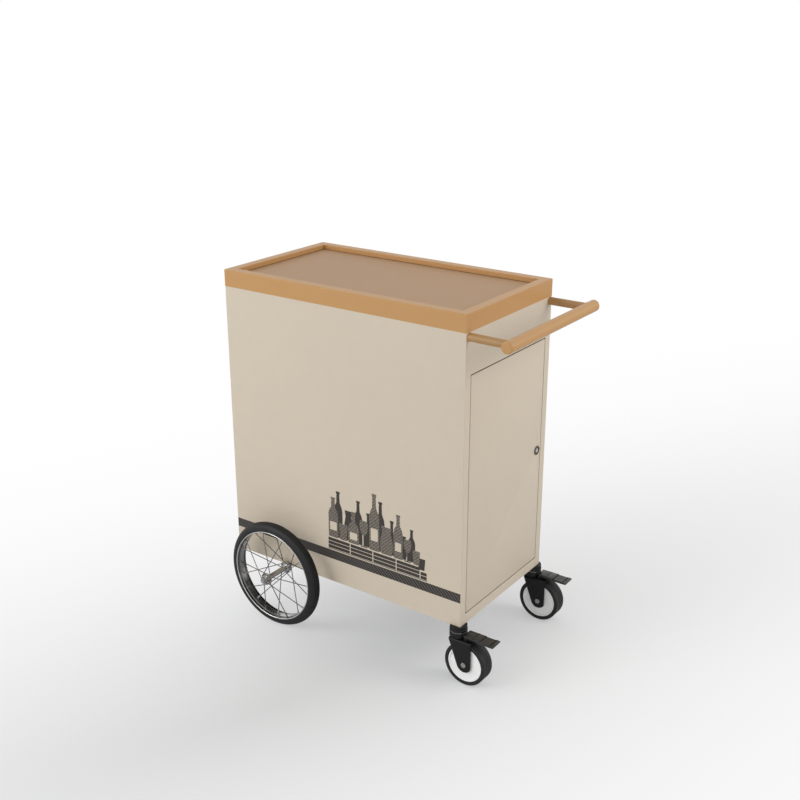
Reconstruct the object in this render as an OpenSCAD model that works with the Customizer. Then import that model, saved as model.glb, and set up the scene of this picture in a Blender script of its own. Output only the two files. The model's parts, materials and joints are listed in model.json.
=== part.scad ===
// Beverage cart: a sheet steel cabinet with a recessed serving tray on top, a flush door with a cam lock,
// a push handle over the door, two laced spoke wheels on a through axle and two swivel casters with brake pedals.
// Millimetres, +Z up. The origin is on the floor under the middle of the whole cart. +X is the door end.

/* [Cabinet] */
// Length of the cabinet from the wheel end to the door end
body_l = 795; // [720:5:900]
// Depth of the cabinet from side to side
body_d = 434; // [400:2:480]
// Height of the side panels, from the underside up to the top frame
side_h = 815.5; // [740:0.5:900]
// Thickness of the cabinet sheet
sheet_t = 1.5; // [1.2:0.1:2]
// Rounding of the outer upright edges
edge_r = 1.2; // [0.5:0.1:1.4]
// Width of the square corner posts
post_w = 22; // [20:1:26]
// Wall of the post and rail tubes
tube_t = 1.5; // [1.2:0.1:2]
// Height of the door sill above the underside
sill_h = 28.5; // [26:0.5:40]
// Height of the plain header over the door
header_h = 112; // [80:1:150]

/* [Top frame and tray] */
// Height of the frame rails
rail_h = 48; // [40:1:60]
// Width of the frame rails seen from above
rail_w = 27.5; // [24:0.5:36]
// Wall of the frame rails
rail_t = 2; // [1.5:0.1:2.5]
// Rounding of the rails' upper edges
rail_edge_r = 1.8; // [0.5:0.1:2]
// Depth of the tray floor below the frame's top
recess_h = 14; // [8:0.5:20]
// Reach of the ledge that carries the tray floor
ledge_w = 9; // [6:0.5:14]
// Thickness of that ledge
ledge_t = 2; // [1.5:0.1:3]

/* [Door] */
// Thickness of the door leaf
door_t = 20; // [16:0.5:24]
// Gap round the door leaf
door_gap = 3; // [2:0.1:3.5]
// Width of the stop flange behind the door
stop_w = 8; // [6:0.5:10]
// Distance of the hinge axis behind the door face
hinge_in = 8; // [7.5:0.1:8.5]
// Distance of the hinge axis from the leaf's hinge edge
hinge_off = 16; // [15:0.5:24]
// Diameter of the hinge pins
hinge_pin_d = 6; // [5:0.2:6.4]
// Outer diameter of the bushes that run on the pins
bush_d = 12; // [10:0.5:12.5]
// Length of those bushes
bush_l = 16; // [10:1:24]

/* [Lock] */
// Height of the lock above the underside
lock_up = 378.5; // [300:0.5:450]
// Distance of the lock from the leaf's free edge
lock_edge = 20; // [19:0.5:30]
// Diameter of the lock's bezel
bezel_d = 26.5; // [24:0.5:30]
// Height of the bezel above the door face
bezel_h = 2.6; // [2:0.1:4]
// Diameter of the lock's barrel
barrel_d = 19; // [18:0.5:22]
// Diameter of the turning plug
plug_d = 12; // [10:0.5:13]
// Depth of the barrel behind the door face
barrel_l = 24; // [22:0.5:28]
// Reach of the cam from the plug's axis
cam_l = 32; // [28:0.5:36]
// Width of the cam
cam_w = 13; // [10:0.5:15]
// Thickness of the cam
cam_t = 2.5; // [2:0.1:3]

/* [Inside] */
// Height of the shelf above the underside
shelf_up = 354; // [250:2:420]
// Width of the angle that carries the shelf
angle_w = 35; // [30:1:45]
// Height of the angle and of the shelf's lips
lip_h = 14; // [10:1:20]
// Free space at the front and back of the shelf
shelf_gap = 20; // [10:1:40]

/* [Handle] */
// Reach of the crossbar's axis from the door end
bar_reach = 120; // [100:1:150]
// Diameter of the crossbar
bar_d = 32; // [28:0.5:38]
// Length of the crossbar with its caps
bar_l = 464; // [440:1:500]
// Wall of the crossbar's tube
bar_t = 2; // [1.5:0.1:3]
// Thickness of the crossbar's end caps
cap_t = 8; // [4:0.5:10]
// Diameter of the two arms
arm_d = 21.6; // [19:0.2:22]
// Diameter of the plug that each arm has in its corner post
arm_plug_d = 18.4; // [15:0.2:18.6]

/* [Spoke wheels] */
// Radius of the spoke wheels over the tyre
wheel_r = 160; // [157:0.5:165]
// Distance of the axle from the wheel end of the cabinet
axle_x = 194; // [180:1:240]
// Diameter of the axle
axle_d = 10; // [9:0.5:12]
// Radius of the tyre's round section
tyre_r = 19.1; // [18.8:0.1:19.6]
// Depth of the rim's lip below the tyre's crown
lip_drop = 22.5; // [22:0.1:23]
// Depth of the rim's well below its lip
bed_drop = 4.5; // [4.2:0.1:6]
// Thickness of the rim's metal
rim_t = 2; // [1.8:0.1:2.2]
// Number of spokes in a wheel, a multiple of four
spoke_n = 20; // [16:4:24]
// Diameter of a spoke
spoke_d = 2.6; // [2:0.1:2.8]
// Diameter of the hub flanges
flange_d = 36.5; // [34:0.5:42]
// Thickness of the hub flanges
flange_t = 2.6; // [2:0.1:3]
// Diameter of the circle of spoke holes
lace_d = 29; // [27:0.5:31]
// Diameter of the hub's body
hub_d = 15.5; // [15:0.1:18]
// Distance of the outer flange from the wheel's mid-plane
hub_out = 39; // [34:0.5:44]
// Distance of the inner flange from the wheel's mid-plane
hub_in = 46; // [44:0.5:54]
// Free space between the cabinet's side and the spokes
wheel_clear = 1.9; // [1:0.1:4]

/* [Casters] */
// Radius of the caster wheels
caster_r = 62.5; // [60:0.5:63]
// Width of the caster wheels
caster_w = 42; // [36:1:44]
// Depth of the rubber tread
tread_h = 11; // [9:0.5:13]
// Distance of the wheel's axle behind the swivel axis
trail = 33; // [28:0.5:36]
// Diameter of the swivel head
head_d = 49; // [42:0.5:50]
// Thickness of the fixed flange at the top
race_t = 7.5; // [6:0.5:9]
// Diameter of the kingpin
kingpin_d = 10; // [8:0.5:12]
// Diameter of the plug in the corner post
plug_post_d = 18.4; // [16:0.2:18.6]
// Height of the plug in the corner post
plug_post_h = 42; // [30:1:60]
// Thickness of the fork's steel
fork_t = 2.5; // [2:0.1:3]
// Radius of the fork's foot round the axle bolt
foot_r = 22.5; // [20:0.5:24]
// Distance from the axle bolt to the fork's front edge
foot_front = 20; // [17:0.5:20]
// Reach of the fork's back edge behind the swivel axis
fork_back = 17.5; // [16:0.5:22]
// Diameter of the axle bolt
bolt_d = 8; // [7:0.5:9]
// Length of the brake pedal's tip from the swivel axis
pedal_l = 119; // [105:1:125]
// Width of the brake pedal at its tip
pedal_w = 40; // [36:1:44]
// Distance of the pedal's pivot from the swivel axis
pedal_x = 30; // [29:0.5:31]

/* [Hidden] */
$fn = 96;

// Clearances: the running fit of a shaft, a loose hole, and a seat between neighbours
run_gap = 0.05;
hole_gap = 0.15;
seat_gap = 0.3;
// Free space between the axle and the cabinet's underside
axle_gap = 0.5;
// Free space between the tyre and the rim
bead_gap = 0.4;
// A cut runs this far past a face
over = 1;

cream = [0.80, 0.76, 0.70];
ochre = [0.74, 0.57, 0.40];
tray_brown = [0.67, 0.57, 0.46];
zinc = [0.66, 0.67, 0.68];
chrome = [0.82, 0.82, 0.83];
black = [0.13, 0.13, 0.14];
rubber = [0.17, 0.17, 0.18];
hub_white = [0.88, 0.88, 0.87];

// Cabinet faces
x_back = -(body_l + bar_reach + bar_d / 2) / 2;
x_front = x_back + body_l;
y_side = body_d / 2;
y_in = y_side - sheet_t;
z_base = wheel_r + axle_d / 2 + axle_gap;
z_deck = z_base + side_h;
z_top = z_deck + rail_h;
post_back = sheet_t + post_w;
y_post = y_in - post_w;
corner_y = y_in - post_w / 2;

// Door opening and leaf
open_y = y_post - sheet_t;
open_h = side_h - header_h - sill_h;
z_sill = z_base + sill_h;
z_lintel = z_deck - header_h;
jamb_d = door_t + seat_gap + sheet_t;
leaf_y = open_y - door_gap;
leaf_z = z_sill + door_gap;
leaf_h = open_h - 2 * door_gap;
hinge_x = x_front - hinge_in;
hinge_y = -leaf_y + hinge_off;
hinge_relief = 2 * hinge_off + door_t;
hinge_sweep = norm([door_t - hinge_in, hinge_off]) + 1;
lock_y = leaf_y - lock_edge;
lock_z = z_base + lock_up;
nut_t = barrel_l - door_t - seat_gap;

// Shelf
z_shelf = z_base + shelf_up;
shelf_y = open_y - 1;
shelf_back = x_back + post_back + shelf_gap;
shelf_front = x_front - post_back - shelf_gap;

// Top tray
tray_z = z_top - recess_h;
tray_x0 = x_back + rail_w + seat_gap;
tray_x1 = x_front - rail_w - seat_gap;
tray_y = y_side - rail_w - seat_gap;

// Handle
bar_x = x_front + bar_reach;
handle_z = z_deck - arm_d / 2 - seat_gap;

// Spoke wheels
wheel_x = x_back + axle_x;
hub_in_end = hub_in + flange_t / 2;
hub_out_end = hub_out + 7;
lip_r = wheel_r - lip_drop;
bed_r = lip_r - bed_drop;
lip_y = tyre_r + 0.1;
lip_roll = 1.6;
bed_y = 8;
shelf_r = lip_r - 3;
washer_t = 1.6;
washer_r = axle_d / 2 + 5.2;
axle_nut_r = axle_d / 2 + 4.8;
axle_nut_t = 8;
spacer_r = axle_d / 2 + 3;
flange_step = 720 / spoke_n;
lace_turn = 2 * flange_step;
rim_shift = 4;
edge_run = sqrt(pow(flange_d / 2, 2) - pow(lace_d / 2, 2));
hub_clear = wheel_clear + spoke_d + hole_gap + lace_lift(1);
wheel_y = y_side + hub_clear + hub_in_end;
axle_end = wheel_y + hub_out_end + seat_gap + washer_t + axle_nut_t + 1.8;
nipple_r = spoke_d / 2 + 1;
nipple_l = 10;
bracket_t = 4;
bracket_r = axle_d / 2 + 6;
bracket_top = sill_h - sheet_t - 2.5;

// Casters
caster_x = x_front - sheet_t - post_w / 2;
crown_z = 2 * caster_r + 4;
head_z = crown_z + fork_t;
race_z = z_base - race_t;
leg_in = caster_w / 2 + 1;
leg_out = leg_in + fork_t;
bend_r = fork_t + 3;
fork_front = trail + foot_front;
bolt_head_r = bolt_d / 2 + 4;
bolt_head_t = 3;
pivot_z = head_z + 6;
pivot_r = 2.5;
knuckle_r = 4.6;
ear_y = 12;
ear_t = 3;
pedal_z = pivot_z + 5;
pedal_t = 3;
pedal_rear = head_d / 2 + 1.5;
pedal_step = 76;
shoe_gap = 3.4;
shoe_x0 = trail + 7;
shoe_x1 = trail + 17;
shoe_y = 7;

module tube_x(l, w, h, t) {
  difference() {
    cube([l, w, h]);
    translate([-over, t, t]) cube([l + 2 * over, w - 2 * t, h - 2 * t]);
  }
}

module tube_y(l, w, h, t) {
  translate([w, 0, 0]) rotate([0, 0, 90]) tube_x(l, w, h, t);
}

module rod(p, q, r) {
  d = q - p;
  l = norm(d);
  translate(p) rotate([0, acos(d[2] / l), atan2(d[1], d[0])]) cylinder(h = l, r = r);
}

// The far side is the near side mirrored, so each sided piece is drawn at the near side
module sided(far) {
  mirror([0, far ? 1 : 0, 0]) children();
}

module side_panel(far) {
  color(cream) sided(far) translate([x_back, -y_side, z_base]) linear_extrude(side_h) {
    difference() {
      square([body_l, sheet_t]);
      for (x = [0, body_l - edge_r]) translate([x, 0]) square(edge_r);
    }
    for (x = [edge_r, body_l - edge_r]) translate([x, edge_r]) intersection() {
      circle(r = edge_r);
      translate([-edge_r, -edge_r]) square([2 * edge_r, edge_r]);
    }
  }
}

module wheel_end_panel() {
  color(cream) translate([x_back, -y_in, z_base]) cube([sheet_t, 2 * y_in, side_h]);
}

module door_end_frame() {
  color(cream) {
    difference() {
      union() {
        translate([x_front - sheet_t, -y_in, z_base]) cube([sheet_t, 2 * y_in, side_h]);
        translate([x_front - jamb_d, -y_post, z_sill - sheet_t])
          cube([jamb_d, 2 * y_post, open_h + 2 * sheet_t]);
      }
      translate([x_front - jamb_d - over, -open_y, z_sill])
        cube([jamb_d + 2 * over, 2 * open_y, open_h]);
      for (s = [-1, 1]) translate([x_front, s * corner_y, handle_z]) rotate([0, 90, 0])
        cylinder(h = 4 * sheet_t, r = arm_plug_d / 2 + hole_gap, center = true);
      translate([hinge_x, hinge_y, z_sill - 2 * sheet_t])
        cylinder(h = open_h + 4 * sheet_t, r = hinge_pin_d / 2 + hole_gap);
    }
    translate([x_front - jamb_d, open_y - stop_w, z_sill]) cube([sheet_t, stop_w, open_h]);
    for (z = [z_sill, z_lintel - stop_w]) translate([x_front - jamb_d, -open_y + hinge_relief, z])
      cube([sheet_t, 2 * open_y - hinge_relief, stop_w]);
  }
}

module post(door_end, far) {
  x0 = door_end ? x_front - post_back : x_back + sheet_t;
  color(zinc) sided(far) difference() {
    translate([x0, -y_in, z_base]) cube([post_w, post_w, side_h]);
    translate([x0 + tube_t, -y_in + tube_t, z_base - over])
      cube([post_w - 2 * tube_t, post_w - 2 * tube_t, side_h + 2 * over]);
    if (door_end) translate([x_front - sheet_t - post_w / 2, -corner_y, handle_z]) rotate([0, 90, 0])
      cylinder(h = post_w, r = arm_plug_d / 2 + hole_gap);
  }
}

// Four rails between the posts; the lower ring has a cross rail as well
module rail_ring(z, h) {
  rail_l = body_l - 2 * post_back;
  for (y = [-y_in, y_in - post_w]) translate([x_back + post_back, y, z]) tube_x(rail_l, post_w, h, tube_t);
  for (x = [x_back + sheet_t, x_front - post_back]) translate([x, -y_post, z])
    tube_y(2 * y_post, post_w, h, tube_t);
}

module lower_frame() {
  rail_hgt = sill_h - sheet_t;
  color(zinc) difference() {
    union() {
      rail_ring(z_base, rail_hgt);
      translate([(x_back + x_front - post_w) / 2, -y_post, z_base]) tube_y(2 * y_post, post_w, rail_hgt, tube_t);
    }
    translate([hinge_x, hinge_y, z_sill - sheet_t - 2 * tube_t])
      cylinder(h = 4 * tube_t, r = hinge_pin_d / 2 + hole_gap);
  }
}

module upper_frame() {
  color(zinc) rail_ring(z_deck - post_w, post_w);
}

module base_pan() {
  l = body_l - sheet_t - post_back;
  color(cream) translate([x_back + sheet_t, 0, z_sill - sheet_t]) linear_extrude(sheet_t) difference() {
    translate([0, -y_in]) square([l, 2 * y_in]);
    for (s = [-1, 1])
      translate([post_w / 2, s * corner_y]) square(post_w + 2 * seat_gap, center = true);
  }
}

module shelf() {
  color(cream) {
    translate([shelf_back, -shelf_y, z_shelf]) cube([shelf_front - shelf_back, 2 * shelf_y, sheet_t]);
    translate([shelf_back, -shelf_y, z_shelf]) cube([sheet_t, 2 * shelf_y, lip_h]);
    translate([shelf_front - sheet_t, -y_in + angle_w + seat_gap, z_shelf - lip_h])
      cube([sheet_t, 2 * (y_in - angle_w - seat_gap), lip_h + sheet_t]);
  }
}

module shelf_angles() {
  l = hinge_x - hinge_sweep - x_back - post_back;
  color(zinc) for (far = [false, true]) sided(far) translate([x_back + post_back, -y_in, z_shelf - sheet_t]) {
    cube([l, angle_w, sheet_t]);
    translate([0, 0, sheet_t - lip_h]) cube([l, sheet_t, lip_h]);
  }
}

// Section of a frame rail: hollow, upper edges rounded, with the inner ledge for the tray floor
module rail_section() {
  difference() {
    union() {
      square([rail_w, rail_h - rail_edge_r]);
      translate([rail_edge_r, 0]) square([rail_w - 2 * rail_edge_r, rail_h]);
      for (x = [rail_edge_r, rail_w - rail_edge_r]) translate([x, rail_h - rail_edge_r]) circle(r = rail_edge_r);
    }
    translate([rail_t, rail_t]) square([rail_w - 2 * rail_t, rail_h - 2 * rail_t]);
  }
  translate([rail_w - rail_t / 2, rail_h - recess_h - sheet_t - ledge_t])
    square([ledge_w + rail_t / 2, ledge_t]);
}

module frame_rail(l) {
  reach = rail_w + ledge_w;
  color(ochre) translate([-l / 2, 0, z_deck]) intersection() {
    rotate([90, 0, 90]) linear_extrude(l) rail_section();
    linear_extrude(rail_h) polygon([[0, 0], [l, 0], [l - reach, reach], [reach, reach]]);
  }
}

module tray_floor() {
  color(tray_brown) translate([tray_x0, -tray_y, tray_z - sheet_t])
    cube([tray_x1 - tray_x0, 2 * tray_y, sheet_t]);
}

// Each arm stands on the cabinet's face, with its plug through the face and the corner post
module handle_arm(far) {
  root = x_front - post_back + tube_t + seat_gap;
  color(ochre) sided(far) difference() {
    translate([0, -corner_y, handle_z]) rotate([0, 90, 0]) {
      translate([0, 0, root]) cylinder(h = bar_x - root, r = arm_plug_d / 2);
      translate([0, 0, x_front + seat_gap]) cylinder(h = bar_x - x_front - seat_gap, r = arm_d / 2);
    }
    translate([bar_x, 0, handle_z]) rotate([90, 0, 0]) cylinder(h = bar_l, r = bar_d / 2, center = true);
  }
}

module handle_bar() {
  l = bar_l - 2 * cap_t;
  color(ochre) translate([bar_x, 0, handle_z]) rotate([90, 0, 0]) difference() {
    cylinder(h = l, r = bar_d / 2, center = true);
    cylinder(h = l + over, r = bar_d / 2 - bar_t, center = true);
  }
}

// Each cap has a rounded face and a spigot inside the tube
module handle_caps() {
  round_r = cap_t / 2;
  spigot_r = bar_d / 2 - bar_t - hole_gap;
  color(ochre) for (far = [false, true]) sided(far)
    translate([bar_x, -bar_l / 2 + cap_t, handle_z]) rotate([90, 0, 0]) {
      rotate_extrude() {
        square([bar_d / 2, cap_t - round_r]);
        square([bar_d / 2 - round_r, cap_t]);
        translate([bar_d / 2 - round_r, cap_t - round_r]) circle(r = round_r);
      }
      translate([0, 0, -cap_t]) cylinder(h = cap_t + over, r = spigot_r);
    }
}

// Axle and its carriers under the cabinet
module along_y(x, z) {
  translate([x, 0, z]) rotate([-90, 0, 0]) children();
}

module axle_rod() {
  color(zinc) along_y(wheel_x, wheel_r) cylinder(h = 2 * axle_end, r = axle_d / 2, center = true);
}

module axle_bracket(far) {
  color(zinc) sided(far) translate([wheel_x, -y_post + bracket_t, 0]) rotate([90, 0, 0])
    linear_extrude(bracket_t) difference() {
      union() {
        translate([0, wheel_r]) circle(r = bracket_r);
        translate([-bracket_r, wheel_r]) square([2 * bracket_r, z_base + bracket_top - wheel_r]);
      }
      translate([0, wheel_r]) circle(r = axle_d / 2 + run_gap);
    }
}

module axle_spacers() {
  color(zinc) for (far = [false, true]) sided(far) translate([wheel_x, -y_side - seat_gap, wheel_r])
    rotate([90, 0, 0]) difference() {
      cylinder(h = hub_clear - 2 * seat_gap, r = spacer_r);
      translate([0, 0, -over]) cylinder(h = hub_clear + over, r = axle_d / 2 + hole_gap);
    }
}

module axle_nuts() {
  color(chrome) for (far = [false, true]) sided(far)
    translate([wheel_x, -wheel_y - hub_out_end - seat_gap, wheel_r]) rotate([90, 0, 0]) difference() {
      union() {
        cylinder(h = washer_t, r = washer_r);
        translate([0, 0, washer_t / 2]) cylinder(h = washer_t / 2 + axle_nut_t, r = axle_nut_r, $fn = 6);
      }
      translate([0, 0, -over]) cylinder(h = washer_t + axle_nut_t + 2 * over, r = axle_d / 2 + hole_gap);
    }
}

// Lower pin held inside the sill rail, upper pin on a plate over the lintel, each with a shoulder in the gap
module hinge_pins() {
  shoulder = door_gap - seat_gap;
  enter = door_gap + bush_l - 2;
  head_r = hinge_in - sheet_t - tube_t - seat_gap;
  color(zinc) {
    translate([hinge_x, hinge_y, z_sill - sheet_t - tube_t - 2]) cylinder(h = 2, r = head_r);
    translate([hinge_x, hinge_y, z_sill - sheet_t - tube_t - over])
      cylinder(h = sheet_t + tube_t + over + enter, r = hinge_pin_d / 2);
    translate([hinge_x, hinge_y, z_sill]) cylinder(h = shoulder, r = hinge_pin_d / 2 + 2);
    translate([hinge_x, hinge_y, z_lintel - enter]) cylinder(h = enter + sheet_t + over, r = hinge_pin_d / 2);
    translate([hinge_x, hinge_y, z_lintel - shoulder]) cylinder(h = shoulder, r = hinge_pin_d / 2 + 2);
    translate([x_front - jamb_d, hinge_y - hinge_off, z_lintel + sheet_t])
      cube([jamb_d - sheet_t - seat_gap, 2 * hinge_off, 3]);
  }
}

module door_pan() {
  color(cream) difference() {
    translate([x_front - door_t, -leaf_y, leaf_z]) cube([door_t, 2 * leaf_y, leaf_h]);
    translate([x_front - door_t - over, -leaf_y + sheet_t, leaf_z + sheet_t])
      cube([door_t + over - sheet_t, 2 * (leaf_y - sheet_t), leaf_h - 2 * sheet_t]);
    translate([x_front - door_t / 2, lock_y, lock_z]) rotate([0, 90, 0])
      cylinder(h = door_t, r = barrel_d / 2 + hole_gap);
    translate([hinge_x, hinge_y, leaf_z - over]) cylinder(h = leaf_h + 2 * over, r = hinge_pin_d / 2 + 0.5);
  }
}

module door_inner() {
  y = leaf_y - sheet_t - seat_gap;
  z0 = leaf_z + sheet_t + seat_gap;
  color(cream) translate([x_front - door_t, 0, 0]) difference() {
    translate([0, -y, z0]) cube([sheet_t, 2 * y, leaf_h - 2 * (sheet_t + seat_gap)]);
    translate([-over, lock_y, lock_z]) rotate([0, 90, 0])
      cylinder(h = sheet_t + 2 * over, r = barrel_d / 2 + hole_gap);
  }
}

module hinge_bushes() {
  color(black) for (z = [leaf_z + sheet_t, leaf_z + leaf_h - sheet_t - bush_l])
    translate([hinge_x, hinge_y, z]) difference() {
      cylinder(h = bush_l, r = bush_d / 2);
      translate([0, 0, -over]) cylinder(h = bush_l + 2 * over, r = hinge_pin_d / 2 + run_gap);
    }
}

// The lock's pieces are drawn along its own axis, with the door face at zero and +Z outward
module at_lock() {
  translate([x_front, lock_y, lock_z]) rotate([0, 90, 0]) children();
}

module lock_housing() {
  lip = 3;
  round_r = bezel_h * 0.5;
  color(chrome) at_lock() rotate_extrude() difference() {
    union() {
      translate([0, -barrel_l]) square([barrel_d / 2, barrel_l + over]);
      square([bezel_d / 2, bezel_h - round_r]);
      square([bezel_d / 2 - round_r, bezel_h]);
      translate([bezel_d / 2 - round_r, bezel_h - round_r]) circle(r = round_r);
    }
    translate([-over, -barrel_l - over]) square([plug_d / 2 + run_gap + over, barrel_l + bezel_h + 2 * over]);
    translate([0, bezel_h * 0.2]) square([bezel_d / 2 - lip, bezel_h]);
  }
}

module lock_nut() {
  color(zinc) at_lock() translate([0, 0, -door_t - nut_t]) difference() {
    cylinder(h = nut_t, r = barrel_d / 2 + 3, $fn = 6);
    translate([0, 0, -over]) cylinder(h = nut_t + 2 * over, r = barrel_d / 2 + hole_gap);
  }
}

module lock_plug() {
  key_w = 1.8;
  key_l = 8;
  tail = barrel_l + seat_gap + cam_t;
  color(chrome) at_lock() difference() {
    union() {
      translate([0, 0, -barrel_l - seat_gap]) cylinder(h = barrel_l + seat_gap + bezel_h * 0.7, r = plug_d / 2);
      translate([0, 0, -tail - 2]) cylinder(h = tail, r = plug_d / 4);
      translate([0, 0, -tail - 2]) cylinder(h = 2, r = plug_d / 3);
    }
    cube([key_l, key_w, 8], center = true);
  }
}

// At rest the cam hangs straight down, clear of the stop; a quarter turn puts its end behind the post
module lock_cam() {
  color(zinc) at_lock() translate([0, 0, -barrel_l - seat_gap - cam_t]) linear_extrude(cam_t) difference() {
    union() {
      circle(r = cam_w / 2 + 1);
      translate([0, -cam_w / 2]) square([cam_l - cam_w / 2, cam_w]);
      translate([cam_l - cam_w / 2, 0]) circle(r = cam_w / 2);
    }
    circle(r = plug_d / 4 + hole_gap);
  }
}

// A spoke wheel is drawn with its axis along +Z, its mid-plane at zero and its outer face up
module at_wheel(far) {
  sided(far) translate([wheel_x, -wheel_y, wheel_r]) rotate([90, 0, 0]) children();
}

// The tyre's bead sits between the rim's lips, and its side rolls over them
module wheel_tyre(far) {
  seat_r = shelf_r + rim_t + bead_gap;
  bead_y = lip_y - 2 * lip_roll - bead_gap;
  lip_top = lip_r + bead_gap;
  groove_step = 3;
  groove_w = 1.8;
  groove_deep = 1;
  color(rubber) at_wheel(far) rotate_extrude() difference() {
    translate([wheel_r - tyre_r, 0]) circle(r = tyre_r);
    polygon([
      [seat_r - tyre_r, -2 * tyre_r], [lip_top, -2 * tyre_r], [lip_top, -bead_y], [seat_r, -bead_y],
      [seat_r, bead_y], [lip_top, bead_y], [lip_top, 2 * tyre_r], [seat_r - tyre_r, 2 * tyre_r]
    ]);
    for (k = [-3 : 2 : 3]) {
      y = k * groove_step;
      translate([wheel_r - tyre_r + sqrt(tyre_r * tyre_r - y * y) - groove_deep, y - groove_w / 2])
        square([tyre_r / 4, groove_w]);
    }
  }
}

// Rim: a shallow well for the spokes, a straight barrel and rolled lips that hold the tyre
module wheel_rim(far) {
  slope_y = bed_y + 2.5;
  roll_at = [lip_r - lip_roll, lip_y - lip_roll];
  start_y = lip_y - 2 * lip_roll;
  half = concat(
    [[bed_r, bed_y], [shelf_r, slope_y], [shelf_r, start_y]],
    [for (a = [180 : -20 : -60]) roll_at + lip_roll * [cos(a), sin(a)]],
    [[shelf_r + rim_t, start_y], [shelf_r + rim_t, slope_y], [bed_r + rim_t, bed_y]]
  );
  under = [for (i = [len(half) - 1 : -1 : 0]) [half[i][0], -half[i][1]]];
  color(zinc) at_wheel(far) difference() {
    rotate([0, 0, flange_step / 4]) rotate_extrude() polygon(concat(half, under));
    for (f = [0, 1], k = [0 : spoke_n / 2 - 1]) {
      p = spoke_hub(f, k);
      q = spoke_rim(f, k);
      u = (q - p) / norm(q - p);
      rod(q - u * nipple_l, q + u * nipple_l, nipple_r + hole_gap);
    }
  }
}

module wheel_hub(far) {
  end_r = axle_d / 2 + 4.5;
  ring = spoke_n / 2;
  color(chrome) at_wheel(far) difference() {
    union() {
      translate([0, 0, -hub_in]) cylinder(h = hub_in + hub_out, r = hub_d / 2);
      translate([0, 0, -hub_in_end]) cylinder(h = flange_t, r = flange_d / 2);
      translate([0, 0, hub_out - flange_t / 2]) cylinder(h = flange_t, r = flange_d / 2);
      translate([0, 0, hub_out]) cylinder(h = hub_out_end - hub_out, r = end_r);
    }
    translate([0, 0, -hub_in_end - over])
      cylinder(h = hub_in_end + hub_out_end + 2 * over, r = axle_d / 2 + run_gap);
    for (f = [0, 1], k = [0 : ring - 1]) rotate([0, 0, k * 360 / ring + f * 180 / ring])
      translate([lace_d / 2, 0, f == 0 ? hub_out : -hub_in])
        cylinder(h = 2 * flange_t, r = spoke_d / 2 + hole_gap, center = true);
  }
}

// Lacing: flange 0 is the outer one. Neighbouring spokes of a flange turn opposite ways and lie on
// opposite faces of the flange, so each pair crosses without touching.
function spoke_way(k) = k % 2 == 0 ? 1 : -1;
function rim_angle(f, k) = k * flange_step + f * flange_step / 2;
function flange_z(f) = f == 0 ? hub_out : -hub_in;
function flange_up(f) = f == 0 ? 1 : -1;
function lace_lift(f) = edge_run * (abs(flange_z(f)) - rim_shift) / (bed_r - lace_d / 4);
function spoke_face(f, k) = flange_up(f) * spoke_way(k) * (flange_t / 2 + spoke_d / 2 + hole_gap)
  + (spoke_way(k) > 0 ? flange_up(f) * lace_lift(f) : 0);
function spoke_hub(f, k) = let (a = rim_angle(f, k) + spoke_way(k) * lace_turn)
  [lace_d / 2 * cos(a), lace_d / 2 * sin(a), flange_z(f) + spoke_face(f, k)];
function spoke_rim(f, k) = let (a = rim_angle(f, k))
  [bed_r * cos(a), bed_r * sin(a), flange_up(f) * rim_shift];

// A spoke has a head on the far face of its flange, an elbow through the hole and a straight run
module spoke(f, k) {
  p = spoke_hub(f, k);
  q = spoke_rim(f, k);
  u = (q - p) / norm(q - p);
  side = sign(spoke_face(f, k));
  head = [p[0], p[1], flange_z(f) - side * (flange_t / 2 + 0.1)];
  tip = head - [0, 0, side * 1.2];
  rod(p, q - u * nipple_l, spoke_d / 2);
  rod(p + [0, 0, side * spoke_d / 2], tip, spoke_d / 2);
  rod(head, tip, spoke_d / 2 + 0.8);
}

module wheel_spokes(far) {
  color(chrome) at_wheel(far) for (f = [0, 1], k = [0 : spoke_n / 2 - 1]) spoke(f, k);
}

module wheel_nipples(far) {
  color(zinc) at_wheel(far) for (f = [0, 1], k = [0 : spoke_n / 2 - 1]) {
    p = spoke_hub(f, k);
    q = spoke_rim(f, k);
    u = (q - p) / norm(q - p);
    rod(q - u * nipple_l, q + u * (rim_t + 0.8), nipple_r);
  }
}

// A caster is drawn with its swivel axis on Z, the floor at zero and its wheel trailing along +X
module at_caster(far) {
  sided(far) translate([caster_x, -corner_y, 0]) children();
}

module at_caster_wheel(far) {
  at_caster(far) translate([trail, 0, caster_r]) rotate([90, 0, 0]) children();
}

// Fixed part: the plug in the post, the flange under the cabinet and the kingpin with its riveted head
module caster_stem(far) {
  head_t = 2;
  head_top = crown_z - seat_gap;
  color(zinc) at_caster(far) {
    translate([0, 0, race_z + over]) cylinder(h = race_t - over + plug_post_h, r = plug_post_d / 2);
    translate([0, 0, race_z]) cylinder(h = race_t, r = head_d / 2 - 1);
    translate([0, 0, head_top - head_t]) cylinder(h = race_z - head_top + head_t + over, r = kingpin_d / 2);
    translate([0, 0, head_top - head_t]) cylinder(h = head_t, r = kingpin_d / 2 + 3);
  }
}

module caster_head(far) {
  top = race_z - seat_gap - head_z;
  r = head_d / 2;
  bore = kingpin_d / 2 + run_gap;
  color(black) at_caster(far) translate([0, 0, head_z]) rotate_extrude() polygon([
    [bore, 0], [r - 2.5, 0], [r, 2.5], [r, top * 0.62], [r - 1.5, top * 0.62 + 1],
    [r - 1.5, top * 0.62 + 2.5], [r, top * 0.62 + 3.5], [r, top - 1], [r - 1, top], [bore, top]
  ]);
}

// Point where a line from p touches the circle of radius r round c, on the left seen from p
function touch(p, c, r) = let (d = c - p, l = norm(d), a = atan2(d[1], d[0]) - asin(r / l))
  p + sqrt(l * l - r * r) * [cos(a), sin(a)];

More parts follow.
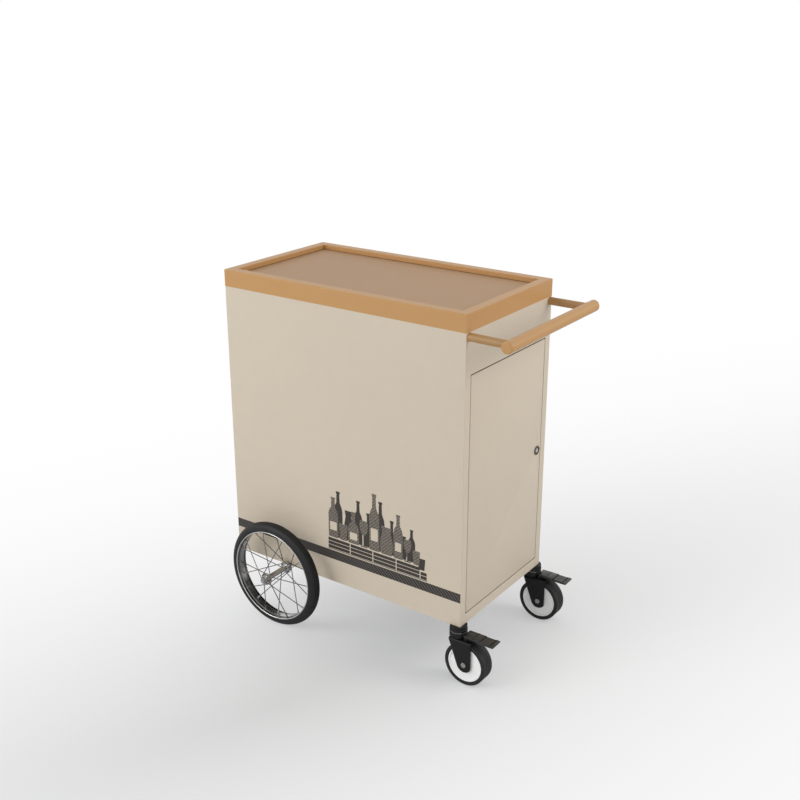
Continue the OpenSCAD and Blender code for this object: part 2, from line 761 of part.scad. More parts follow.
module fork_outline() {
  axle = [trail, caster_r];
  heel = [-fork_back, head_z];
  intersection() {
    union() {
      translate(axle) circle(r = foot_r);
      polygon([heel, touch(heel, axle, foot_r), axle, [fork_front, caster_r], [fork_front, head_z]]);
    }
    translate([-fork_back, 0]) square([fork_back + fork_front, head_z]);
  }
}

// Section of the bent fork, seen along X: a U with rounded outer and inner bends
module fork_section() {
  h = head_z - caster_r + foot_r;
  difference() {
    round_top(leg_out, h, bend_r);
    translate([0, -over]) round_top(leg_in, h - fork_t + over, bend_r - fork_t);
  }
}

module round_top(half_w, h, r) {
  translate([-half_w, 0]) square([2 * half_w, h - r]);
  translate([-half_w + r, 0]) square([2 * (half_w - r), h]);
  for (s = [-1, 1]) translate([s * (half_w - r), h - r]) circle(r = r);
}

module caster_fork(far) {
  color(black) at_caster(far) {
    difference() {
      intersection() {
        translate([-fork_back, 0, caster_r - foot_r]) rotate([90, 0, 90])
          linear_extrude(fork_back + fork_front) fork_section();
        rotate([90, 0, 0]) linear_extrude(2 * leg_out + over, center = true) fork_outline();
      }
      translate([0, 0, crown_z - over]) cylinder(h = fork_t + 2 * over, r = kingpin_d / 2 + run_gap);
      translate([trail, 0, caster_r]) rotate([90, 0, 0])
        cylinder(h = 3 * leg_out, r = bolt_d / 2 + hole_gap, center = true);
      translate([shoe_x0 - 3, -shoe_y - 1.5, crown_z - over])
        cube([fork_front, 2 * shoe_y + 3, fork_t + 2 * over]);
    }
    for (s = [-1, 1]) translate([pedal_x, s * (ear_y + ear_t / 2), 0]) rotate([90, 0, 0])
      linear_extrude(ear_t, center = true) {
        translate([0, pivot_z]) circle(r = pivot_r + 2);
        translate([-pivot_r - 2, head_z - fork_t / 2]) square([2 * pivot_r + 4, pivot_z - head_z + fork_t / 2]);
      }
    translate([pedal_x, 0, pivot_z]) rotate([90, 0, 0])
      cylinder(h = 2 * ear_y + ear_t, r = pivot_r, center = true);
  }
}

module caster_bolt(far) {
  color(chrome) at_caster_wheel(far) {
    cylinder(h = 2 * leg_out + 4, r = bolt_d / 2, center = true);
    for (s = [-1, 1]) translate([0, 0, s * (leg_out + bolt_head_t / 2)])
      cylinder(h = bolt_head_t, r = bolt_head_r, center = true, $fn = 6);
  }
}

// Moulded wheel centre: a boss on the bolt, a dished web and a band under the tread
module caster_hub(far) {
  band_r = caster_r - tread_h - seat_gap;
  band_y = caster_w / 2 - 1.5;
  boss_r = bolt_d / 2 + 8;
  boss_y = leg_in - 0.5;
  half = [
    [bolt_d / 2 + run_gap, boss_y], [boss_r - 1, boss_y], [boss_r, boss_y - 1], [boss_r + 1, band_y - 1.4],
    [band_r - 6, band_y - 2.2], [band_r - 4, band_y], [band_r, band_y]
  ];
  under = [for (i = [len(half) - 1 : -1 : 0]) [half[i][0], -half[i][1]]];
  color(hub_white) at_caster_wheel(far) rotate_extrude() polygon(concat(half, under));
}

module caster_tread(far) {
  in_r = caster_r - tread_h;
  half_w = caster_w / 2;
  shoulder = 2.5;
  groove_w = 1.6;
  color(rubber) at_caster_wheel(far) rotate_extrude() difference() {
    union() {
      translate([in_r, -half_w + 1.2]) square([tread_h - shoulder, caster_w - 2.4]);
      translate([in_r + 1.2, -half_w]) square([tread_h - shoulder - 1.2, caster_w]);
      translate([in_r + 1.2, -half_w + shoulder]) square([tread_h - 1.2, caster_w - 2 * shoulder]);
      for (s = [-1, 1]) translate([caster_r - shoulder, s * (half_w - shoulder)]) circle(r = shoulder);
    }
    for (y = [-7, 0, 7]) translate([caster_r - 1.2, y - groove_w / 2]) square([2, groove_w]);
  }
}

// Toe pedal: a plate with a groove, a lower tip that flares, turned-down edges, a knuckle on the fork's pin
// and a shoe over the tread
module pedal_outline() {
  rear_y = pedal_w / 2 - 3;
  neck_y = pedal_w / 2 - 2;
  tip_r = 3;
  polygon([
    [pedal_rear, -rear_y], [pedal_step, -neck_y], [pedal_l - 15, -neck_y], [pedal_l - 8, -pedal_w / 2],
    [pedal_l - tip_r, -pedal_w / 2], [pedal_l - tip_r, pedal_w / 2],
    [pedal_l - 8, pedal_w / 2], [pedal_l - 15, neck_y], [pedal_step, neck_y], [pedal_rear, rear_y]
  ]);
  translate([pedal_l - 2 * tip_r, -pedal_w / 2 + tip_r]) square([2 * tip_r, pedal_w - 2 * tip_r]);
  for (s = [-1, 1]) translate([pedal_l - tip_r, s * (pedal_w / 2 - tip_r)]) circle(r = tip_r);
}

module brake_pedal(far) {
  knuckle_y = ear_y - 0.5;
  edge_h = 4;
  step_h = 1.6;
  groove_x = pedal_step - 22;
  color(black) at_caster(far) {
    difference() {
      translate([0, 0, pedal_z]) linear_extrude(pedal_t + step_h) pedal_outline();
      translate([pedal_step, -pedal_w, pedal_z + pedal_t]) cube([pedal_l, 2 * pedal_w, 2 * step_h]);
      translate([groove_x, -pedal_w, pedal_z + pedal_t + step_h / 2]) cube([1.6, 2 * pedal_w, step_h]);
    }
    for (s = [-1, 1]) translate([pedal_rear + 1, s * (pedal_w / 2 - 4) - 0.9, pedal_z - edge_h])
      cube([pedal_l - pedal_rear - 6, 1.8, edge_h + 1]);
    translate([pedal_l - 5, -pedal_w / 2 + 4, pedal_z - edge_h]) cube([2.2, pedal_w - 8, edge_h + 1]);
    difference() {
      union() {
        translate([pedal_x, 0, pivot_z]) rotate([90, 0, 0])
          cylinder(h = 2 * knuckle_y, r = knuckle_r, center = true);
        translate([pedal_x - knuckle_r, -knuckle_y, pivot_z])
          cube([2 * knuckle_r, 2 * knuckle_y, pedal_z - pivot_z + pedal_t / 2]);
      }
      translate([pedal_x, 0, pivot_z]) rotate([90, 0, 0])
        cylinder(h = 3 * ear_y, r = pivot_r + run_gap, center = true);
    }
    difference() {
      translate([shoe_x0, -shoe_y, 2 * caster_r - 6])
        cube([shoe_x1 - shoe_x0, 2 * shoe_y, pedal_z + pedal_t / 2 - 2 * caster_r + 6]);
      translate([trail, 0, caster_r]) rotate([90, 0, 0])
        cylinder(h = 4 * shoe_y, r = caster_r + shoe_gap, center = true);
    }
  }
}

side_panel(false);  // side_panel_near
side_panel(true);  // side_panel_far
wheel_end_panel();
door_end_frame();
post(true, false);  // post_door_near
post(true, true);  // post_door_far
post(false, false);  // post_wheel_near
post(false, true);  // post_wheel_far
lower_frame();
upper_frame();
base_pan();
shelf();
shelf_angles();
translate([(x_back + x_front) / 2, -y_side, 0]) frame_rail(body_l);  // rail_near
translate([(x_back + x_front) / 2, y_side, 0]) rotate([0, 0, 180]) frame_rail(body_l);  // rail_far
translate([x_front, 0, 0]) rotate([0, 0, 90]) frame_rail(body_d);  // rail_door
translate([x_back, 0, 0]) rotate([0, 0, -90]) frame_rail(body_d);  // rail_wheel
tray_floor();
handle_arm(false);  // handle_arm_near
handle_arm(true);  // handle_arm_far
handle_bar();
handle_caps();
axle_rod();
axle_bracket(false);  // axle_bracket_near
axle_bracket(true);  // axle_bracket_far
axle_spacers();
axle_nuts();
hinge_pins();
door_pan();
door_inner();
hinge_bushes();
lock_housing();
lock_nut();
lock_plug();
lock_cam();
wheel_tyre(false);  // wheel_tyre_near
wheel_rim(false);  // wheel_rim_near
wheel_hub(false);  // wheel_hub_near
wheel_spokes(false);  // wheel_spokes_near
wheel_nipples(false);  // wheel_nipples_near
wheel_tyre(true);  // wheel_tyre_far
wheel_rim(true);  // wheel_rim_far
wheel_hub(true);  // wheel_hub_far
wheel_spokes(true);  // wheel_spokes_far
wheel_nipples(true);  // wheel_nipples_far
caster_stem(false);  // caster_stem_near
caster_head(false);  // caster_head_near
caster_fork(false);  // caster_fork_near
caster_bolt(false);  // caster_bolt_near
caster_hub(false);  // caster_hub_near
caster_tread(false);  // caster_tread_near
brake_pedal(false);  // brake_pedal_near
caster_stem(true);  // caster_stem_far
caster_head(true);  // caster_head_far
caster_fork(true);  // caster_fork_far
caster_bolt(true);  // caster_bolt_far
caster_hub(true);  // caster_hub_far
caster_tread(true);  // caster_tread_far
brake_pedal(true);  // brake_pedal_far
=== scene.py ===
"""Beverage cart: the finishes, the softened edges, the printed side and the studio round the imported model."""
import json
import math

import bmesh
import bpy
from mathutils import Matrix, Vector


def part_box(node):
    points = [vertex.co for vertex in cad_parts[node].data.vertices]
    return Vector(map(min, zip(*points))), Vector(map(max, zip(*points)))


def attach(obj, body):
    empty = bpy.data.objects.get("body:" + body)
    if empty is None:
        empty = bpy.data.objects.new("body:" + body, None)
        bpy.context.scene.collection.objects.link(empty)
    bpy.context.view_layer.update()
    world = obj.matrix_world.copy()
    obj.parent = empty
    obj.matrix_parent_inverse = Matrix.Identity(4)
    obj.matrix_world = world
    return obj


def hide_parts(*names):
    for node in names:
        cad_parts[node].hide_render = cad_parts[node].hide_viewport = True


bl_info = {
    "name": "Beverage Cart",
    "version": (1, 0, 0),
    "blender": (4, 5, 0),
    "location": "View3D > Sidebar > Cart",
    "description": "Finishes and details for a push cart with a tray top, a door, spoke wheels and casters",
    "category": "Object",
}

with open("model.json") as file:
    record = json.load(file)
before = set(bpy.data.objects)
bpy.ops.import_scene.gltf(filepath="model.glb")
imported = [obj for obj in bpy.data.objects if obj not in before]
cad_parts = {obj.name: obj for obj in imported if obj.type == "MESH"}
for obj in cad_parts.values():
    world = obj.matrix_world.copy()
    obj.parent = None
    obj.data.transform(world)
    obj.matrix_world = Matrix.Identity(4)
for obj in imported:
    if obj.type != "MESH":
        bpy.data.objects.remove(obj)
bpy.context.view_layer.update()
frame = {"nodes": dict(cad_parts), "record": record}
SLOT_OF = {row["node"]: row["material_slot"] for row in frame["record"]["subparts"]}
BODY_OF = {node: body for body, nodes in frame["record"]["behaviour"]["bodies"].items() for node in nodes}
MM = 0.001


def linear(r, g, b):
    """A colour as it is seen on screen, 0 to 255, as the linear values that Blender keeps."""
    return tuple(c / 12.92 if c <= 0.04045 else ((c + 0.055) / 1.055) ** 2.4
                 for c in (r / 255, g / 255, b / 255))


def colour(name, description, rgb):
    return bpy.props.FloatVectorProperty(
        name=name, description=description, subtype="COLOR", size=3, min=0, max=1, default=linear(*rgb))


def length(name, description, default, low=0.0, high=10.0):
    return bpy.props.FloatProperty(
        name=name, description=description, default=default, min=low, max=high, subtype="DISTANCE",
        unit="LENGTH", precision=4)


def point(name, description, default):
    return bpy.props.FloatVectorProperty(
        name=name, description=description, subtype="XYZ", unit="LENGTH", size=3, default=default)


def power(name, description, default):
    return bpy.props.FloatProperty(
        name=name, description=description, default=default, min=0, max=500, unit="POWER")


class CartColours(bpy.types.PropertyGroup):
    """Colours of the finishes"""

    cream: colour("Cabinet", "Powder coat of the cabinet and the door", (214, 201, 182))
    ochre: colour("Frame", "Powder coat of the top frame and the crossbar", (197, 150, 94))
    # Painted shade: the arms get a darker copy of the frame's ochre for the shade that falls on them
    arm: colour("Handle arms", "Powder coat of the two arms", (176, 136, 88))
    tray: colour("Tray", "Coated panel in the top frame", (186, 150, 115))
    # Painted shade: the dark under the cabinet's floor stands in for the shade there
    underside_painted_shade: colour("Underside shade", "Dark coat on the underside of the cabinet's floor", (64, 63, 62))
    band_dark: colour("Band, dark lines", "Slanting lines of the printed band", (37, 33, 31))
    band_pale: colour("Band, pale lines", "Paler lines between the dark ones", (91, 85, 80))
    ink: colour("Motif ink", "Ink of the printed bottles, glasses and crates", (48, 43, 40))
    ink_pale: colour("Motif, pale lines", "Paler lines in the solid ink", (76, 69, 63))
    zinc: colour("Zinc", "Plating of the inner frame, the axle and small parts", (186, 188, 190))
    bright: colour("Bright plating", "Plating of the spoke wheels' hubs", (196, 195, 192))
    satin: colour("Satin steel", "Axle nuts, caster bolts, nipples and race rings", (168, 166, 163))
    spoke: colour("Spokes", "Drawn wire of the spokes", (122, 121, 120))
    rim: colour("Rim", "Dull barrel of the spoke wheels' rims", (190, 188, 186))
    # Painted shade and painted highlight: the shoulders are darker and the lips brighter than the barrel of the
    # same rim
    shoulder_shade: colour("Rim shoulders", "Darker shoulders between the barrel and the lips", (116, 115, 114))
    lip: colour("Rim lips", "Bright rolled lips of the rims", (214, 213, 210))
    # Painted shade and painted highlight: the lock's ring is a darker and its plug's face a brighter copy of
    # the same plating
    lock_ring_shade: colour("Lock ring", "Ring of the lock in the door", (112, 107, 101))
    lock_face_highlight: colour("Lock face", "Bright face of the lock's plug", (238, 236, 232))
    rubber: colour("Rubber", "Rubber of the tyres and treads", (28, 28, 29))
    # Partly painted shade: the grip strips' dark also stands in for the shade at the pedals' step and groove
    grip_shade: colour("Grips", "Grip strips on the pedals", (10, 10, 10))
    black: colour("Black steel", "Coat of the forks and swivel heads", (17, 17, 18))
    pedal: colour("Pedal", "Coat of the brake pedals", (38, 38, 36))
    hub: colour("Wheel centre", "Moulded centre of the casters", (251, 251, 250))
    # Painted shade: the door's seal pieces in this colour stand in for the shadow deep in the door's gap; the
    # hinge bushes share the colour
    seal: colour("Seal", "Foam seal of the door, and the hinge bushes", (50, 50, 50))
    # Partly painted shade: the bead's dark stands in for the contact shadow where the tray meets the frame
    sealant_shade: colour("Sealant", "Bead round the tray panel", (84, 58, 38))
    floor: colour("Floor", "Studio floor", (235, 236, 238))


class CartSizes(bpy.types.PropertyGroup):
    """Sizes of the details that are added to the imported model"""

    round_sheet: length("Sheet edges", "Rounding of the cabinet's sheet edges", 0.6 * MM, 0, 2 * MM)
    round_steel: length("Steel edges", "Rounding of the forks' and pedals' edges", 0.5 * MM, 0, 1 * MM)
    band_low: length("Band height", "Height of the band's lower edge above the floor", 237.3 * MM)
    band_high: length("Band top", "Height of the band's upper edge above the floor", 264.9 * MM)
    print_thick: length("Print", "Thickness of the band and the motif", 0.15 * MM, 0.05 * MM, 1 * MM)
    print_line: length("Print line", "Width of the motif's drawn lines", 1.5 * MM, 0.5 * MM, 4 * MM)
    seal_thick: length("Seal", "Thickness of the foam seal round the door", 0.9 * MM, 0.3 * MM, 1.5 * MM)
    bead_wide: length("Tray bead", "Width of the bead round the tray panel", 1.3 * MM, 0.5 * MM, 3 * MM)
    weld_round: length("Weld", "Radius of the weld beads on the handle", 1.6 * MM, 0.5 * MM, 3 * MM)
    grip_wide: length("Pedal grip", "Width of the grip strips across the pedals", 2.6 * MM, 1 * MM, 4 * MM)
    race_tall: length("Ball race", "Height of the swivel heads' steel ring", 1.2 * MM, 0.4 * MM, 1.4 * MM)


class StageSettings(bpy.types.PropertyGroup):
    """The studio: camera, lights and sky"""

    camera_place: point("Camera place", "Where the camera stands", (1.6897, -2.4138, 1.7643))
    camera_turn: bpy.props.FloatVectorProperty(
        name="Camera turn", description="Rotation of the camera", subtype="EULER", unit="ROTATION", size=3,
        default=(math.radians(69.7111), 0.0, math.radians(35.3166)))
    camera_lens: bpy.props.FloatProperty(
        name="Lens", description="Focal length of the camera in millimetres", default=50.27, min=20, max=200)
    key_power: power("Key light", "Power of the large soft light from the left", 50.0)
    key_wide: length("Key width", "Width of the key light", 2.6)
    key_place: point("Key place", "Where the key light hangs", (-1.9, -3.2, 2.4))
    fill_power: power("Fill light", "Power of the soft light on the door end", 15.0)
    fill_wide: length("Fill width", "Width of the fill light", 1.2)
    fill_place: point("Fill place", "Where the fill light hangs", (2.1, 0.8, 1.9))
    fill_tint: bpy.props.FloatVectorProperty(
        name="Fill tint", description="Warm tint of the fill light", subtype="COLOR", size=3, min=0, max=1,
        default=(1.0, 0.97, 0.93))
    sky_low: bpy.props.FloatProperty(
        name="Sky low down", description="Strength of the even light near the horizon", default=0.97,
        min=0, max=5)
    sky_high: bpy.props.FloatProperty(
        name="Sky overhead", description="Strength of the even light straight above", default=0.32,
        min=0, max=5)


# Node helpers

# Most of a noise lies between the first and the last of these values
NOISE_LOW, NOISE_MIDDLE, NOISE_HIGH = 0.25, 0.5, 0.75
# What an effect on a surface puts out
SURFACE = (("Colour", "colour"), ("Roughness", "value"), ("Normal", "vector"))
# A mask by distance goes from 0 to 1 within a quarter of a millimetre
MASK_STEEPNESS = 4000.0


def new_group(name, inputs, outputs):
    """A new shader node group, what it is given, what it puts out, and the object's coordinates."""
    group = bpy.data.node_groups.new(name, "ShaderNodeTree")
    kinds = {"value": "NodeSocketFloat", "colour": "NodeSocketColor", "vector": "NodeSocketVector"}
    for socket, kind, default in inputs:
        made = group.interface.new_socket(name=socket, in_out="INPUT", socket_type=kinds[kind])
        made.default_value = default
    for socket, kind in outputs:
        group.interface.new_socket(name=socket, in_out="OUTPUT", socket_type=kinds[kind])
    given = group.nodes.new("NodeGroupInput").outputs
    result = group.nodes.new("NodeGroupOutput").inputs
    place = group.nodes.new("ShaderNodeTexCoord").outputs["Object"]
    return group, given, result, place


def noise(tree, vector, scale, detail, rough):
    node = tree.nodes.new("ShaderNodeTexNoise")
    node.inputs["Scale"].default_value = scale
    node.inputs["Detail"].default_value = detail
    node.inputs["Roughness"].default_value = rough
    tree.links.new(vector, node.inputs["Vector"])
    return node.outputs["Fac"]


def feed(tree, value, socket):
    """Sets a socket to a number or a colour, or links another node's output to it."""
    if isinstance(value, bpy.types.NodeSocket):
        tree.links.new(value, socket)
    else:
        socket.default_value = value


def math_node(tree, operation, a, b=None, clamp=False):
    node = tree.nodes.new("ShaderNodeMath")
    node.operation = operation
    node.use_clamp = clamp
    feed(tree, a, node.inputs[0])
    if b is not None:
        feed(tree, b, node.inputs[1])
    return node.outputs[0]


def vector_node(tree, operation, a, b=None):
    node = tree.nodes.new("ShaderNodeVectorMath")
    node.operation = operation
    feed(tree, a, node.inputs[0])
    if b is not None:
        feed(tree, b, node.inputs[1])
    return node


def part_of(tree, vector, axis):
    """One coordinate of a vector."""
    split = tree.nodes.new("ShaderNodeSeparateXYZ")
    tree.links.new(vector, split.inputs[0])
    return split.outputs[axis]


def remap(tree, value, low, high, to_low, to_high):
    node = tree.nodes.new("ShaderNodeMapRange")
    for socket, number in zip(("From Min", "From Max", "To Min", "To Max"), (low, high, to_low, to_high)):
        node.inputs[socket].default_value = number
    tree.links.new(value, node.inputs["Value"])
    return node.outputs["Result"]


def mix_by_mask(tree, mask, first, second):
    """The first colour where the mask is 0, the second where it is 1."""
    mix = tree.nodes.new("ShaderNodeMix")
    mix.data_type = "RGBA"
    tree.links.new(mask, mix.inputs["Factor"])
    feed(tree, first, mix.inputs["A"])
    feed(tree, second, mix.inputs["B"])
    return mix.outputs["Result"]


def shade_by(tree, base, factor, low, high):
    """The base colour made darker or lighter by a factor between low and high."""
    node = tree.nodes.new("ShaderNodeMix")
    node.data_type = "RGBA"
    node.blend_type = "MULTIPLY"
    node.inputs["Factor"].default_value = 1.0
    grey = tree.nodes.new("ShaderNodeCombineColor")
    level = remap(tree, factor, NOISE_LOW, NOISE_HIGH, low, high)
    for channel in ("Red", "Green", "Blue"):
        tree.links.new(level, grey.inputs[channel])
    tree.links.new(base, node.inputs["A"])
    tree.links.new(grey.outputs["Color"], node.inputs["B"])
    return node.outputs["Result"]


def uneven(tree, roughness, grain, swing):
    """The roughness raised and lowered by a noise; the swing is from its lowest to its highest."""
    shift = math_node(tree, "MULTIPLY", math_node(tree, "SUBTRACT", grain, NOISE_MIDDLE), swing)
    return math_node(tree, "ADD", roughness, shift, clamp=True)


def bump(tree, height, strength, distance):
    node = tree.nodes.new("ShaderNodeBump")
    node.inputs["Distance"].default_value = distance
    tree.links.new(height, node.inputs["Height"])
    feed(tree, strength, node.inputs["Strength"])
    return node.outputs["Normal"]


def make_coat_group():
    """Powder coat: soft orange peel, a fine pebble grain and faint drifts of tone and gloss."""
    group, given, result, place = new_group(
        "Powder coat",
        [("Colour", "colour", (0.8, 0.8, 0.8, 1)), ("Roughness", "value", 0.45),
         ("Gloss drift", "value", 0.12), ("Peel", "value", 0.12)], SURFACE)
    drift_share, cloud_share, grain_share = 0.6, 0.4, 0.45
    drift = noise(group, place, scale=3.5, detail=3, rough=0.55)
    cloud = noise(group, place, scale=28, detail=4, rough=0.6)
    tone = math_node(group, "ADD", math_node(group, "MULTIPLY", drift, drift_share),
                     math_node(group, "MULTIPLY", cloud, cloud_share))
    wide = noise(group, place, scale=420, detail=1, rough=0.4)
    grain = noise(group, place, scale=1700, detail=2, rough=0.5)
    peel = math_node(group, "ADD", wide, math_node(group, "MULTIPLY", grain, grain_share))
    group.links.new(shade_by(group, given["Colour"], tone, low=0.975, high=1.02), result["Colour"])
    group.links.new(uneven(group, given["Roughness"], cloud, given["Gloss drift"]), result["Roughness"])
    group.links.new(bump(group, peel, given["Peel"], distance=0.4 * MM), result["Normal"])
    return group


def make_metal_group():
    """Drawn or brushed metal: fine lines along one axis with a faint cloud of plating tone."""
    group, given, result, place = new_group(
        "Drawn metal",
        [("Colour", "colour", (0.6, 0.6, 0.6, 1)), ("Roughness", "value", 0.3),
         ("Stretch", "vector", (1, 1, 1)), ("Lines", "value", 0.15)], SURFACE)
    stretched = vector_node(group, "MULTIPLY", place, given["Stretch"]).outputs["Vector"]
    lines = noise(group, stretched, scale=900, detail=2, rough=0.6)
    cloud = noise(group, place, scale=60, detail=3, rough=0.6)
    group.links.new(shade_by(group, given["Colour"], cloud, low=0.90, high=1.05), result["Colour"])
    group.links.new(uneven(group, given["Roughness"], lines, swing=0.25), result["Roughness"])
    group.links.new(bump(group, lines, given["Lines"], distance=0.2 * MM), result["Normal"])
    return group


def make_rubber_group():
    """Rubber: fine pores, a soft bloom and slightly uneven gloss."""
    group, given, result, place = new_group(
        "Rubber",
        [("Colour", "colour", (0.03, 0.03, 0.03, 1)), ("Roughness", "value", 0.5), ("Grain", "value", 0.2)],
        SURFACE)
    bloom = noise(group, place, scale=45, detail=4, rough=0.65)
    pores = noise(group, place, scale=1400, detail=3, rough=0.6)
    group.links.new(shade_by(group, given["Colour"], bloom, low=0.88, high=1.12), result["Colour"])
    group.links.new(uneven(group, given["Roughness"], bloom, swing=0.25), result["Roughness"])
    group.links.new(bump(group, pores, given["Grain"], distance=0.4 * MM), result["Normal"])
    return group


def make_moulded_group():
    """Moulded plastic: an even fine texture with faint flow marks."""
    group, given, result, place = new_group(
        "Moulded plastic",
        [("Colour", "colour", (0.8, 0.8, 0.8, 1)), ("Roughness", "value", 0.4), ("Texture", "value", 0.1)],
        SURFACE)
    flow = noise(group, place, scale=22, detail=3, rough=0.5)
    spark = noise(group, place, scale=1100, detail=2, rough=0.5)
    group.links.new(shade_by(group, given["Colour"], flow, low=0.97, high=1.02), result["Colour"])
    group.links.new(uneven(group, given["Roughness"], spark, swing=0.12), result["Roughness"])
    group.links.new(bump(group, spark, given["Texture"], distance=0.3 * MM), result["Normal"])
    return group


def make_print_group():
    """Printed ink: ruled lines in two tones across a direction, slightly uneven like a screen print."""
    group, given, result, place = new_group(
        "Printed lines",
        [("Ink", "colour", (0.07, 0.06, 0.06, 1)), ("Ground", "colour", (0.6, 0.5, 0.4, 1)),
         ("Direction", "vector", (0, 0, 400)), ("Share", "value", 0.5), ("Waver", "value", 0.3),
         ("Roughness", "value", 0.5)], SURFACE)
    line_sharpness, gloss_speck, relief = 10.0, 0.1, 0.15
    along = vector_node(group, "DOT_PRODUCT", place, given["Direction"]).outputs["Value"]
    waver = math_node(group, "MULTIPLY", noise(group, place, scale=60, detail=2, rough=0.5), given["Waver"])
    saw = math_node(group, "FRACT", math_node(group, "ADD", along, waver))
    over = math_node(group, "SUBTRACT", saw, given["Share"])
    mask = math_node(group, "MULTIPLY", over, line_sharpness, clamp=True)
    lines = mix_by_mask(group, mask, given["Ink"], given["Ground"])
    speck = noise(group, place, scale=900, detail=2, rough=0.6)
    group.links.new(shade_by(group, lines, speck, low=0.88, high=1.12), result["Colour"])
    gloss = math_node(group, "ADD", given["Roughness"], math_node(group, "MULTIPLY", speck, gloss_speck))
    group.links.new(gloss, result["Roughness"])
    group.links.new(bump(group, speck, relief, distance=0.2 * MM), result["Normal"])
    return group


def make_lip_group():
    """Masks of the rims' lips, painted bright, and of their shoulders, painted dark, by the distance from a
    wheel's mid-plane.
    """
    group, given, result, place = new_group(
        "Rolled lips",
        [("Mid-plane", "value", 0.27), ("Reach", "value", 0.016), ("Shoulder", "value", 0.008)],
        [("Mask", "value"), ("Shoulder", "value")])
    side = math_node(group, "ABSOLUTE", part_of(group, place, "Y"))
    away = math_node(group, "ABSOLUTE", math_node(group, "SUBTRACT", side, given["Mid-plane"]))
    for reach, mask in (("Reach", "Mask"), ("Shoulder", "Shoulder")):
        past = math_node(group, "SUBTRACT", away, given[reach])
        group.links.new(math_node(group, "MULTIPLY", past, MASK_STEEPNESS, clamp=True), result[mask])
    return group


def make_below_group():
    """Mask of what lies below a height."""
    group, given, result, place = new_group("Below", [("Height", "value", 0.1)], [("Mask", "value")])
    under = math_node(group, "SUBTRACT", given["Height"], part_of(group, place, "Z"))
    group.links.new(math_node(group, "MULTIPLY", under, MASK_STEEPNESS, clamp=True), result["Mask"])
    return group


GROUP_MAKERS = {"coat": make_coat_group, "metal": make_metal_group, "rubber": make_rubber_group,
                "moulded": make_moulded_group, "print": make_print_group, "lip": make_lip_group,
                "below": make_below_group}
GROUPS = {}
MATERIALS = {}


def effect_node(tree, kind, values):
    """Places an effect group in a material, and sets its values; the group is built at its first use."""
    if kind not in GROUPS:
        GROUPS[kind] = GROUP_MAKERS[kind]()
    node = tree.nodes.new("ShaderNodeGroup")
    node.node_tree = GROUPS[kind]
    for socket, value in values.items():
        node.inputs[socket].default_value = value
    return node


def new_material(name, kind, values, shader_values):
    """A Principled material whose colour, roughness and normal come from one of the effect groups."""
    material = bpy.data.materials.new(name)
    material.use_nodes = True
    tree = material.node_tree
    shader = tree.nodes["Principled BSDF"]
    node = effect_node(tree, kind, values)
    tree.links.new(node.outputs["Colour"], shader.inputs["Base Color"])
    tree.links.new(node.outputs["Roughness"], shader.inputs["Roughness"])
    tree.links.new(node.outputs["Normal"], shader.inputs["Normal"])
    for socket, value in shader_values.items():
        shader.inputs[socket].default_value = value
    MATERIALS[name] = material


def rgba(colour_value):
    return (*colour_value, 1.0)


# Nodes whose finish is finer than their slot's, by the start of the node's name; the base pan's underside, the
# arms and the lock get painted shade and painted highlight here
FINER_FINISHES = {
    "base_pan": "underside_shaded", "axle_nuts": "satin_steel", "caster_bolt": "satin_steel",
    "wheel_nipples": "satin_steel", "handle_arm": "arm",
    "lock_housing": "lock_ring_shade", "lock_plug": "lock_face_highlight",
}


def finish_of(node):
    """The material of a node: its slot's, or a finer one."""
    for start, name in FINER_FINISHES.items():
        if node.startswith(start):
            return MATERIALS[name]
    return MATERIALS[SLOT_OF[node]]


# Mesh helpers


def add_piece(bm, name, body, material, replaces=(), sharp=35.0):
    """Turns a bmesh into a finished piece that rides on a body and may stand for CAD nodes."""
    mesh = bpy.data.meshes.new(name)
    bm.to_mesh(mesh)
    bm.free()
    mesh.polygons.foreach_set("use_smooth", [True] * len(mesh.polygons))
    mesh.set_sharp_from_angle(angle=math.radians(sharp))
    mesh.materials.append(material)
    piece = bpy.data.objects.new(name, mesh)
    bpy.context.scene.collection.objects.link(piece)
    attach(piece, body)
    if replaces:
        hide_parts(*replaces)
    return piece


def copy_of_node(node, same_place=2e-6, flat=0.3):
    """The node's own triangles, joined up and with their flat faces made whole."""
    bm = bmesh.new()
    bm.from_mesh(frame["nodes"][node].data)
    bmesh.ops.remove_doubles(bm, verts=bm.verts, dist=same_place)
    bmesh.ops.dissolve_limit(bm, angle_limit=math.radians(flat), verts=bm.verts, edges=bm.edges)
    return bm


def soften(bm, width, segments=2, angle=40.0, where=None):
    """Rounds every edge that turns by more than the angle, or only those that the test picks."""
    edges = [e for e in bm.edges if e.is_manifold and e.calc_face_angle() > math.radians(angle)
             and (where is None or where(e))]
    bmesh.ops.bevel(bm, geom=edges, offset=width, offset_type="OFFSET", segments=segments, profile=0.5,
                    affect="EDGES", clamp_overlap=False, material=-1)


def rounded_copy(node, width, segments=2, where=None):
    """A piece that stands for the node, with its edges rounded."""
    bm = copy_of_node(node)
    soften(bm, width, segments, where=where)
    add_piece(bm, node + "_rounded", BODY_OF[node], finish_of(node),
              replaces=(node,), sharp=28.0)


def bars_piece(name, body, material, bars, rounding, segments=2):
    """A piece of straight blocks with rounded edges; a block is given by its lowest and highest corner."""
    bm = bmesh.new()
    for low, high in bars:
        low, high = Vector(low), Vector(high)
        made = bmesh.ops.create_cube(bm, size=1.0)
        bmesh.ops.scale(bm, vec=high - low, verts=made["verts"])
        bmesh.ops.translate(bm, vec=(low + high) / 2, verts=made["verts"])
    soften(bm, rounding, segments)
    add_piece(bm, name, body, material)


def new_verts(made):
    """The vertices among what an extrusion made."""
    return [v for v in made["geom"] if isinstance(v, bmesh.types.BMVert)]


METAL = {"Metallic": 1.0}
# How the lines of a metal are stretched: they run along the axis with the small share
ALONG_Z = (1, 1, 0.04)
ALONG_Y = (1, 0.05, 1)
